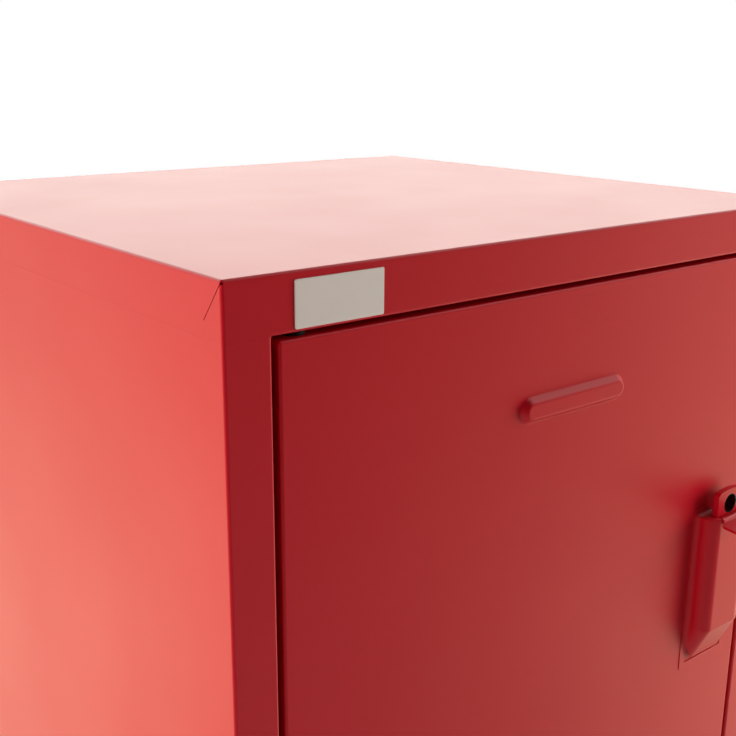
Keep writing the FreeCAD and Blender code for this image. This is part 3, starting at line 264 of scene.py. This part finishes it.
print("plastic and rubber:", hub_plastic.name, nylon.name, black_nylon.name, pad_rubber.name,
      tread_rubber.name)

# %% [markdown]
# ## Dressing the model
#
# Every piece already says which finish it has, in the record that came with the model. A table from
# finish to material dresses all of them at once. The pieces that only show when the door is open
# get a copy of the red a shade deeper: painted shade for the inside of the cabinet.

# %% Dress the model's pieces
finish = {
    "red_paint": red_paint,
    "zinc_steel": zinc,
    "nylon": nylon,
    "black_nylon": black_nylon,
    "bumper_rubber": pad_rubber,
    "hub_plastic": hub_plastic,
    "grey_tread": tread_rubber,
}
inner_pieces = {"floor_tray", "shelf", "shelf_clips", "lock_channel"}
dressed = {}
for entry in frame["record"]["subparts"]:
    name = entry["node"]
    # The inner pieces take the deeper copy of the red, which is painted shade.
    material = shaded_inside_paint if name in inner_pieces else finish[entry["material_slot"]]
    piece = frame["nodes"][name]
    piece.data.materials.clear()
    piece.data.materials.append(material)
    dressed[name] = material.name
print(len(dressed), "pieces dressed,",
      sum(finish_name == "red_powder_coat" for finish_name in dressed.values()), "in red")

# %% [markdown]
# ## The badge plate
#
# Near the corner of the front skirt sits a small satin plate, 45 mm by 20 mm, left bare. It is thin
# foil-faced aluminium on an adhesive pad, so it stands 0.6 mm proud and its edge catches the light.
# A box would do for the size, but its edge would be too sharp: a rounded outline, drawn out with
# bmesh and bevelled on its front rim, gives the soft bright edge.
#
# All the added pieces are made that way: loops of points are joined by bands of four-sided faces,
# the faces are turned to point outwards, and the result becomes a piece of the scene.

# %% Shape of the badge plate
def make_piece(name, shape, place=(0.0, 0.0, 0.0)):
    """Turns a bmesh into a piece of the scene."""
    bmesh.ops.recalc_face_normals(shape, faces=shape.faces)
    mesh = bpy.data.meshes.new(name)
    shape.to_mesh(mesh)
    shape.free()
    piece = bpy.data.objects.new(name, mesh)
    piece.location = place
    bpy.context.scene.collection.objects.link(piece)
    return piece


def join_loops(shape, first, second):
    """Joins two closed loops of equally many points."""
    count = len(first)
    for i in range(count):
        j = (i + 1) % count
        shape.faces.new((first[i], first[j], second[j], second[i]))


def rounded_outline(width, height, radius, steps=6):
    """Points of a rounded rectangle about the origin, anticlockwise."""
    points = []
    for turn, (sx, sz) in enumerate(((1, 1), (-1, 1), (-1, -1), (1, -1))):
        for step in range(steps + 1):
            angle = math.pi / 2 * (turn + step / steps)
            points.append((
                sx * (width / 2 - radius) + radius * math.cos(angle),
                sz * (height / 2 - radius) + radius * math.sin(angle),
            ))
    return points


def plate(name, width, height, thickness, radius, rim, place):
    """A thin plate with a bevelled front rim that looks to -Y. Its place is its back's middle."""
    shape = bmesh.new()
    outline = rounded_outline(width, height, radius)
    inset = rounded_outline(width - 2 * rim, height - 2 * rim, max(radius - rim, rim / 2))
    back = [shape.verts.new((x, 0.0, z)) for x, z in outline]
    side = [shape.verts.new((x, -(thickness - rim), z)) for x, z in outline]
    front = [shape.verts.new((x, -thickness, z)) for x, z in inset]
    join_loops(shape, back, side)
    join_loops(shape, side, front)
    shape.faces.new(front)
    shape.faces.new(back[::-1])
    return make_piece(name, shape, place)


BADGE_FROM_LEFT, BADGE_FROM_TOP = 55.5 * MM, 13.6 * MM
badge_place = (LEFT + BADGE_FROM_LEFT, FRONT, TOP - BADGE_FROM_TOP)
badge = plate("badge_plate", width=45.0 * MM, height=20.0 * MM, thickness=0.6 * MM,
              radius=0.8 * MM, rim=0.25 * MM, place=badge_place)
print("badge plate at", [round(v / MM, 1) for v in badge_place])

# %% [markdown]
# The foil is brushed level, so its gloss is drawn out along the plate. A bare metal shader would
# mirror the dark room and turn black. Instead it gets a pale colour without metallic shine: a
# painted reflection, which comes closer to how the foil catches the light.

# %% Foil on the badge plate
FOIL_STRETCH, FOIL_SCORE = (60.0, 1.0, 2600.0), 0.006 * MM


def foil(name, light, dark):
    """Pale foil, its colour a painted reflection: fine level brushing in the gloss, and a little
    haze in the colour.
    """
    material, tree, shader = new_material(name)
    place = tree.nodes.new("ShaderNodeTexCoord").outputs["Object"]
    stretched = add(tree, "ShaderNodeMapping", Vector=place, Scale=FOIL_STRETCH).outputs["Vector"]
    brush = add(tree, "ShaderNodeTexNoise", Vector=stretched, Scale=1.0, Detail=3.0).outputs["Fac"]
    haze = noise(tree, scale=55.0, detail=3.0)
    connect(
        tree, shader,
        Base_Color=between(tree, haze, light, dark),
        Metallic=0.0,
        Roughness=spread(tree, brush, low=0.36, high=0.48),
        Normal=bump(tree, brush, FOIL_SCORE),
    )
    return material


# The pale colours of the foil are a painted reflection of bright surroundings.
painted_sheen_foil = foil("painted_sheen_foil", light=(0.96, 0.84, 0.78), dark=(0.90, 0.79, 0.73))
badge.data.materials.append(painted_sheen_foil)
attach(badge, "cabinet")
print("badge plate is in", painted_sheen_foil.name)

# %% [markdown]
# ## The padlock strap
#
# The staple that takes the padlock is a strap with a shallow arched top, rounded corners and a
# round eye. The model has a plainer one. It is drawn again here and takes the plainer one's place,
# and everything round it is set out from two heights: the strap's own and the housing's top.

# %% Measures round the handle
staple_low, staple_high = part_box("padlock_staple")
housing_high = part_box("handle_housing")[1]
HANDLE_X = (staple_low[0] + staple_high[0]) / 2
STAPLE_FACE, STAPLE_TOP = staple_low[1], staple_high[2]
FLANGE = 3.5 * MM
HOUSING_TOP = housing_high[2] - FLANGE
print("handle at", round(HANDLE_X / MM, 1), "housing's top at", round(HOUSING_TOP / MM, 1))

# %% [markdown]
# Seen from the side the strap is a bar with a joggle: its foot lies on the door and its head stands
# off, so that a shackle can pass behind. A side view drawn out to the strap's width gives that in
# one go, where bending a flat bar would take three steps.

# %% Strap from its side view
def prism(name, ends):
    """A solid between two equal outlines, given as lists of points."""
    shape = bmesh.new()
    loops = [[shape.verts.new(point) for point in end] for end in ends]
    for loop in loops:
        shape.faces.new(loop)
    join_loops(shape, *loops)
    return make_piece(name, shape)


def side_solid(name, outline, low_x, high_x):
    """A solid drawn along X from an outline of (y, z) points."""
    return prism(name, [[(x, y, z) for y, z in outline] for x in (low_x, high_x)])


STRAP, FOOT_SHEET, JOGGLE = 3.7 * MM, 3.4 * MM, 20.0 * MM
strap_back, foot_face, bend = STAPLE_FACE + STRAP, FRONT - FOOT_SHEET, HOUSING_TOP - JOGGLE
strap = side_solid("padlock_strap", [
    (STAPLE_FACE, STAPLE_TOP), (strap_back, STAPLE_TOP), (strap_back, bend + STRAP),
    (FRONT, bend), (FRONT, staple_low[2]), (foot_face, staple_low[2]),
    (foot_face, bend - STRAP), (STAPLE_FACE, bend),
], staple_low[0], staple_high[0])
print("strap's side view:", len(strap.data.polygons), "faces")

# %% [markdown]
# From the front the strap's top is an arch that runs into the sides in small round corners. A bevel
# would round the corners but leave the top straight. So a second solid is drawn from the whole
# front outline, and a boolean keeps what the strap and that solid have in common.

# %% Arched top
def combine(piece, tool, operation):
    """Cuts a piece with another solid, or trims it to that solid, and removes the tool."""
    cut = piece.modifiers.new("cut", "BOOLEAN")
    cut.operation, cut.solver, cut.object = operation, "EXACT", tool
    whole = piece.evaluated_get(bpy.context.evaluated_depsgraph_get())
    piece.data = bpy.data.meshes.new_from_object(whole)
    piece.modifiers.clear()
    bpy.data.objects.remove(tool)


def arched_outline(width, low, top, drop, corner, steps=16):
    """An upright outline of (x, z) points with an arch on top, lower by drop at its sides."""
    half = width / 2
    bow = (half ** 2 + drop ** 2) / (2 * drop)
    centre = top - bow
    reach = half - corner
    # The corner circle touches the side and, from inside, the arch.
    knee = centre + math.sqrt((bow - corner) ** 2 - reach ** 2)
    lean = math.atan2(reach, knee - centre)
    points = [(half, low)]
    for step in range(steps + 1):
        angle = (math.pi / 2 - lean) * step / steps
        points.append((reach + corner * math.cos(angle), knee + corner * math.sin(angle)))
    for step in range(1, steps):
        angle = lean * (1 - 2 * step / steps)
        points.append((bow * math.sin(angle), centre + bow * math.cos(angle)))
    for step in range(steps + 1):
        angle = (math.pi / 2 - lean) * (1 - step / steps)
        points.append((-reach - corner * math.cos(angle), knee + corner * math.sin(angle)))
    points.append((-half, low))
    return points


ARCH_TOP, ARCH_DROP, STRAP_CORNER = STAPLE_TOP - 1.6 * MM, 1.4 * MM, 3.0 * MM
CLEAR = 5 * MM
arch = arched_outline(staple_high[0] - staple_low[0], staple_low[2] - CLEAR, ARCH_TOP, ARCH_DROP,
                      STRAP_CORNER)
trimmer = prism("strap_arch", [
    [(HANDLE_X + x, y, z) for x, z in arch] for y in (STAPLE_FACE - CLEAR, FRONT + CLEAR)
])
combine(strap, trimmer, "INTERSECT")
print("strap's top at", round(ARCH_TOP / MM, 1), "from an arch of", len(arch), "points")

# %% [markdown]
# The eye is a 12 mm hole. A cylinder cuts it with the same boolean, which leaves a clean round edge
# through the thick of the strap. The finished strap is painted, rides with the door, and replaces
# the model's plainer one.

# %% Eye of the strap
def cut_hole(piece, radius, place, depth=40 * MM):
    """Cuts a round hole along Y through a piece."""
    bpy.ops.mesh.primitive_cylinder_add(
        vertices=64, radius=radius, depth=depth, location=place, rotation=(math.pi / 2, 0, 0)
    )
    combine(piece, bpy.context.object, "DIFFERENCE")


def on_door(piece, material):
    """Paints a piece and hangs it on the door."""
    piece.data.materials.clear()
    piece.data.materials.append(material)
    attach(piece, "door")


EYE_RADIUS, EYE_RISE = 6.0 * MM, 6.1 * MM
eye_place = (HANDLE_X, STAPLE_FACE, HOUSING_TOP + EYE_RISE)
cut_hole(strap, EYE_RADIUS, eye_place)
on_door(strap, red_paint)
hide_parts("padlock_staple")
print("strap:", len(strap.data.polygons), "faces, eye at", [round(v / MM, 1) for v in eye_place])

# %% [markdown]
# The eye is lined with a thin black sleeve, a dark piece that paints the shade deep inside the eye.
# It reaches on behind the strap, so the eye looks dark from the front. A pipe could be cut from two
# cylinders, but four circles joined round are simpler: the outer front and back edges, then the
# inner back and front ones.

# %% Painted shade in the eye
def tube(name, radius, wall, length, place, steps=64):
    """A plain tube along Y that starts at place."""
    shape = bmesh.new()
    angles = [2 * math.pi * i / steps for i in range(steps)]
    inner = radius - wall
    loops = [
        [shape.verts.new((r * math.cos(a), y, r * math.sin(a))) for a in angles]
        for r, y in ((radius, 0.0), (radius, length), (inner, length), (inner, 0.0))
    ]
    for here, there in zip(loops, loops[1:] + loops[:1]):
        join_loops(shape, here, there)
    return make_piece(name, shape, place)


SHADE_SLEEVE_WALL, SHADE_SLEEVE_LENGTH = 0.35 * MM, 6.5 * MM
# A black tube in the eye stands in for the shade inside it: painted shade.
eye_shade_sleeve = tube("padlock_eye_shade_sleeve", EYE_RADIUS, SHADE_SLEEVE_WALL, SHADE_SLEEVE_LENGTH, eye_place)
on_door(eye_shade_sleeve, black_nylon)
print("bush:", eye_shade_sleeve.name, "with", len(eye_shade_sleeve.data.polygons), "faces")

# %% [markdown]
# Behind the strap the door's skin and the top of the housing are closed, and the model has a window
# there. A blank of the skin's own thickness fills the opening in the door. The function that made
# the badge plate serves again, with a rim too fine to show.

# %% Blank in the door
WINDOW_WIDTH, WINDOW_RISE, WINDOW_DROP, WINDOW_CORNER = 17.0 * MM, 10.0 * MM, 8.0 * MM, 4.0 * MM
SKIN, BLANK_RIM = 1.0 * MM, 0.02 * MM
blank_place = (HANDLE_X, FRONT + SKIN, HOUSING_TOP + (WINDOW_RISE - WINDOW_DROP) / 2)
blank = plate("door_window_blank", WINDOW_WIDTH, WINDOW_RISE + WINDOW_DROP, SKIN, WINDOW_CORNER,
              BLANK_RIM, blank_place)
on_door(blank, red_paint)
print("blank:", blank.name, "at", [round(v / MM, 1) for v in blank_place])

# %% [markdown]
# The housing's top sheet runs back to the door and turns up into a thin flange, in a quarter of a
# hollow circle. A bridge with that section carries both across the window's width. As with the
# strap, its side view is drawn and pulled out along X.

# %% Bridge on the housing
FLANGE_SHEET, BLEND, HOUSING_SHEET, BLEND_STEPS = 0.4 * MM, 3.1 * MM, 1.2 * MM, 8
flange_face, sheet_low = FRONT - FLANGE_SHEET, HOUSING_TOP - HOUSING_SHEET
blend_y, blend_z = flange_face - BLEND, HOUSING_TOP + BLEND
quarter = [math.pi / 2 * i / BLEND_STEPS for i in range(BLEND_STEPS + 1)]
hollow = [(blend_y + BLEND * math.sin(a), blend_z - BLEND * math.cos(a)) for a in quarter]
bridge = side_solid("housing_top_bridge", [
    (FRONT, sheet_low), (strap_back, sheet_low), (strap_back, HOUSING_TOP), *hollow,
    (flange_face, HOUSING_TOP + FLANGE), (FRONT, HOUSING_TOP + FLANGE),
], HANDLE_X - WINDOW_WIDTH / 2, HANDLE_X + WINDOW_WIDTH / 2)
on_door(bridge, red_paint)
print("bridge:", bridge.name, "with", len(bridge.data.polygons), "faces")

# %% [markdown]
# ## Mould lines on the treads
#
# A rubber tread is cast in a mould, and the mould's seams leave hairlines round it. Here one runs
# on each side of the tread's middle, as a small triangular section turned about the axle. Spinning
# a section in mesh code keeps the rings exactly concentric with the wheels they ride on. Their
# crests come up to the tread's surface and no further, so the wheels keep their size.

# %% Rings on the wheels
def ring(name, middle, radius, width, height, material, body, steps=64):
    """A ring of triangular section round an axle that runs along X."""
    shape = bmesh.new()
    section = ((-width / 2, radius), (0.0, radius + height), (width / 2, radius))
    angles = [2 * math.pi * i / steps for i in range(steps)]
    rows = [
        [shape.verts.new((x, r * math.cos(a), r * math.sin(a))) for x, r in section]
        for a in angles
    ]
    for here, there in zip(rows, rows[1:] + rows[:1]):
        join_loops(shape, here, there)
    piece = make_piece(name, shape, middle)
    piece.data.materials.append(material)
    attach(piece, body)
    return piece


RING_WIDTH, RING_HEIGHT, RING_FROM_MIDDLE = 0.8 * MM, 0.25 * MM, 5.0 * MM
corners = ("front_left", "front_right", "rear_left", "rear_right")
rings = []
for corner in corners:
    low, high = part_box(f"{corner}_tyre")
    middle = (Vector(low) + Vector(high)) / 2
    # The crest is at the tread's full radius, so the ring's foot is a ring's height below it.
    foot = (high[2] - low[2]) / 2 - RING_HEIGHT
    for number, shift in enumerate((-RING_FROM_MIDDLE, RING_FROM_MIDDLE), start=1):
        rings.append(ring(f"{corner}_tread_ring_{number}", middle + Vector((shift, 0, 0)), foot,
                          RING_WIDTH, RING_HEIGHT, tread_rubber, f"{corner}_wheel"))
print(len(rings), "rings on the treads")

# %% [markdown]
# ## The floor
#
# A plain pale floor grounds the cabinet and takes its shadow. If it ended in a hard edge, that edge
# would cut across the picture, so the floor fades out: its material grows transparent with distance
# from the middle, and the white beyond takes over. It stays out of mirror-like reflections, because
# the studio around the cabinet already says what the paint reflects.

# %% Floor
def fading_floor(radius, fade_from, fade_to, colour):
    """A round floor that is solid up to one distance from its middle and gone at another."""
    bpy.ops.mesh.primitive_circle_add(vertices=96, radius=radius, fill_type="NGON",
                                      location=(0, 0, 0))
    floor = bpy.context.object
    floor.name = "floor"
    material, tree, shader = new_material("studio_floor")
    connect(tree, shader, Base_Color=(*colour, 1.0), Roughness=0.85, Specular_IOR_Level=0.2)
    place = tree.nodes.new("ShaderNodeTexCoord").outputs["Object"]
    distance = add(tree, "ShaderNodeVectorMath", Vector=place)
    distance.operation = "LENGTH"
    fade = map_range(tree, distance.outputs["Value"], fade_from, fade_to, 0.0, 1.0, "SMOOTHSTEP")
    clear = tree.nodes.new("ShaderNodeBsdfTransparent")
    mix = tree.nodes.new("ShaderNodeMixShader")
    for source, socket in zip((fade, shader.outputs[0], clear.outputs[0]), mix.inputs):
        tree.links.new(source, socket)
    tree.links.new(mix.outputs[0], tree.nodes["Material Output"].inputs["Surface"])
    floor.data.materials.append(material)
    floor.visible_glossy = False
    return floor


FLOOR_RADIUS, FADE_FROM = 1.8, 0.4
FADE_TO = FLOOR_RADIUS * 0.97
floor = fading_floor(FLOOR_RADIUS, FADE_FROM, FADE_TO, colour=(0.90, 0.90, 0.90))
print(floor.name, "fades out from", FADE_FROM, "to", FADE_TO, "m")

# %% [markdown]
# ## The studio
#
# Satin paint shows its surroundings more than its lamps, so the surroundings are drawn with care.
# A world could be a picture of a real room. A graph that gives each direction its brightness is
# chosen instead, because each light or dark part of it then has a number of its own. A direction
# has two measures: its height, from -1 straight down to 1 straight up, and its azimuth, counted
# from straight back towards the right.

# %% Helpers for the world
world = bpy.data.worlds.new("studio")
bpy.context.scene.world = world
world.use_nodes = True
sky = world.node_tree
sky.nodes.clear()


def ramp(value, start, end, at_start, at_end, curve="SMOOTHSTEP"):
    """Goes from one level to another as a measure of the direction grows."""
    return map_range(sky, value, start, end, at_start, at_end, curve)


def calculate(operation, first, second=0.0):
    """One step of arithmetic on numbers or sockets."""
    node = sky.nodes.new("ShaderNodeMath")
    node.operation = operation
    for value, socket in zip((first, second), node.inputs):
        plug(sky, value, socket)
    return node.outputs[0]


def around(value, centre, near, far, level):
    """A level where a measure is near a centre, fading to nothing where it is far from it."""
    away = calculate("ABSOLUTE", calculate("SUBTRACT", value, centre))
    return ramp(away, near, far, at_start=level, at_end=0.0)


direction = sky.nodes.new("ShaderNodeTexCoord").outputs["Generated"]
measures = add(sky, "ShaderNodeSeparateXYZ", Vector=direction).outputs
height = measures["Z"]
azimuth = calculate("ARCTAN2", measures["X"], measures["Y"])
print("world:", world.name, "with", len(sky.nodes), "nodes for a direction's measures")

# %% [markdown]
# A bright sweep runs behind the cabinet and round to its right. The top and the left side mirror it
# at a shallow angle and turn pale. The rest of the room is dark, from the camera's place round to
# the left, so the near end of the door and its frame stay a deep red, and the door grows paler to
# the right as its reflection comes round to the sweep. Ramps over the azimuth shape the two ends.

# %% Sweep
SWEEP, RIGHT_GAIN = 1.00, 1.25
right_end = calculate(
    "MULTIPLY",
    ramp(azimuth, math.radians(70), math.radians(110), at_start=1.0, at_end=RIGHT_GAIN),
    ramp(azimuth, math.radians(108), math.radians(134), at_start=1.0, at_end=0.0, curve="LINEAR"),
)
left_end = ramp(azimuth, math.radians(-85), math.radians(-40), at_start=0.0, at_end=1.0)
sweep = calculate("MULTIPLY", calculate("MULTIPLY", right_end, left_end), SWEEP)
print("brightness of the sweep", SWEEP, "and at its right end", SWEEP * RIGHT_GAIN)

# %% [markdown]
# A band just above the horizon, behind the cabinet's right half, is several times brighter than the
# rest of the sweep. Below the horizon the sweep is mirrored in a floor: it glows towards the
# cabinet's foot and is dark straight down, where the cabinet stands in its own shade.

# %% Band above the horizon, glow below it
BAND, BAND_HEIGHT, BAND_AZIMUTH = 3.35, 0.30, math.radians(40)
FLOOR_GLOW, STRAIGHT_DOWN = 1.85, 0.2
band = calculate(
    "MULTIPLY",
    around(height, BAND_HEIGHT, near=0.12, far=0.26, level=BAND),
    around(azimuth, BAND_AZIMUTH, near=math.radians(40), far=math.radians(75), level=1.0),
)
floor_glow = calculate(
    "MULTIPLY",
    ramp(height, -0.50, -0.10, at_start=FLOOR_GLOW, at_end=1.0),
    ramp(height, -0.74, -0.56, at_start=STRAIGHT_DOWN, at_end=1.0),
)
banded = calculate("MULTIPLY", sweep, calculate("ADD", band, 1.0))
sweep_and_floor = calculate("MULTIPLY", banded, floor_glow)
print("brightness of the band", SWEEP * (1 + BAND), "and of the floor's glow", SWEEP * FLOOR_GLOW)

# %% [markdown]
# A little light is left in the rest of the room, more of it near the floor, and everything dims
# overhead. A high panel on the right is the one bright thing above: it gives upward-facing edges,
# such as the bead's, their pale line.

# %% Rest of the room
ROOM_BELOW, ROOM_ABOVE, OVERHEAD = 0.10, 0.02, 0.04
HIGH_PANEL, PANEL_HEIGHT, PANEL_AZIMUTH = 1.6, 0.72, math.radians(110)
rest_of_room = ramp(height, -0.45, -0.25, at_start=ROOM_BELOW, at_end=ROOM_ABOVE)
ceiling = ramp(height, 0.45, 0.75, at_start=1.0, at_end=OVERHEAD)
dimmed = calculate("MULTIPLY", calculate("ADD", sweep_and_floor, rest_of_room), ceiling)
panel = calculate(
    "MULTIPLY",
    around(azimuth, PANEL_AZIMUTH, near=math.radians(18), far=math.radians(40), level=HIGH_PANEL),
    around(height, PANEL_HEIGHT, near=0.10, far=0.20, level=1.0),
)
strength = calculate("ADD", dimmed, panel)
print("brightness of the high panel", HIGH_PANEL, "and share left overhead", OVERHEAD)

# %% [markdown]
# Below the horizon the light takes on the warm tone of a wooden floor. The camera itself sees plain
# white: Light Path tells its rays from all others, so the background is white without adding any
# light to the paint.

# %% Tone, and what the camera sees
FLOOR_TONE, WALL_TONE, WHITE = (1.10, 1.0, 0.70), (1.0, 1.0, 0.93), (1.0, 1.0, 1.0, 1.0)
above_floor = ramp(height, -0.12, 0.05, at_start=0.0, at_end=1.0)
tone = between(sky, above_floor, FLOOR_TONE, WALL_TONE)
room = add(sky, "ShaderNodeBackground", Color=tone, Strength=strength)
white = add(sky, "ShaderNodeBackground", Color=WHITE, Strength=1.0)
camera_ray = sky.nodes.new("ShaderNodeLightPath").outputs["Is Camera Ray"]
choice = sky.nodes.new("ShaderNodeMixShader")
for source, socket in zip((camera_ray, room.outputs[0], white.outputs[0]), choice.inputs):
    sky.links.new(source, socket)
out = sky.nodes.new("ShaderNodeOutputWorld")
sky.links.new(choice.outputs[0], out.inputs["Surface"])
print("world:", world.name, "with", len(sky.nodes), "nodes in all")

# %% [markdown]
# ## The lamps
#
# The sweep alone leaves the flat faces underlit. A large soft lamp on the left fills the side
# panel, and another in front, to the right, fills the door. Soft square lamps are used because a
# small one would throw a hard shadow. Neither is mirrored in the paint: what the paint reflects is
# said once, by the world.

# %% Lamps
def softbox(name, place, target, size, power, colour=(1.0, 1.0, 1.0)):
    """A square lamp that points at a target. Its size is in metres and its power in watts."""
    data = bpy.data.lights.new(name, "AREA")
    data.shape = "SQUARE"
    data.size = size
    data.energy = power
    data.color = colour
    lamp = bpy.data.objects.new(name, data)
    lamp.location = place
    lamp.rotation_euler = (Vector(target) - Vector(place)).to_track_quat("-Z", "Y").to_euler()
    lamp.visible_camera = False
    lamp.visible_glossy = False
    bpy.context.scene.collection.objects.link(lamp)
    return lamp


left_lamp = softbox("left_softbox", place=(-1.9, 0.0, 0.48), target=(-0.2, 0.0, 0.4),
                    size=1.3, power=28.2, colour=(1.0, 0.97, 0.93))
front_lamp = softbox("front_softbox", place=(0.85, -0.62, 0.50), target=(0.1, -0.17, 0.4),
                     size=0.5, power=6.2)
print("lamps:", left_lamp.name, front_lamp.name)

# %% [markdown]
# ## The camera
#
# The view is a close look at the upper left corner, from a little above the top and to the left of
# the door. Yaw, pitch and roll say where it looks, and from them come the camera's own three axes.
# Writing those axes straight into the matrix avoids any muddle about the order of rotations.

# %% Camera
YAW, PITCH, ROLL = math.radians(38.628), math.radians(15.990), math.radians(0.311)
EYE_TO_LEFT, EYE_IN_FRONT, EYE_ABOVE = 200.76 * MM, 338.70 * MM, 78.44 * MM
SENSOR_WIDTH, FOCAL_LENGTH, NEAREST = 36.0, 52.53, 0.02
ahead = Vector((
    math.sin(YAW) * math.cos(PITCH), math.cos(YAW) * math.cos(PITCH), -math.sin(PITCH)
))
level_right = Vector((math.cos(YAW), -math.sin(YAW), 0.0))
level_up = level_right.cross(ahead)
to_right = math.cos(ROLL) * level_right + math.sin(ROLL) * level_up
upward = -math.sin(ROLL) * level_right + math.cos(ROLL) * level_up

lens_data = bpy.data.cameras.new("camera")
lens_data.sensor_width = SENSOR_WIDTH
lens_data.lens = FOCAL_LENGTH
lens_data.clip_start = NEAREST
camera = bpy.data.objects.new("camera", lens_data)
turn = Matrix((to_right, upward, -ahead)).transposed().to_4x4()
eye = Vector((LEFT - EYE_TO_LEFT, FRONT - EYE_IN_FRONT, TOP + EYE_ABOVE))
camera.matrix_world = Matrix.Translation(eye) @ turn
bpy.context.scene.collection.objects.link(camera)
bpy.context.scene.camera = camera
print("camera at", [round(v, 3) for v in eye])

# %% [markdown]
# Colours are shown as they are computed, with the Standard transform, so that white stays white and
# the reds keep their depth.

# %% Colour management
bpy.context.scene.view_settings.view_transform = "Standard"
print("view transform:", bpy.context.scene.view_settings.view_transform)
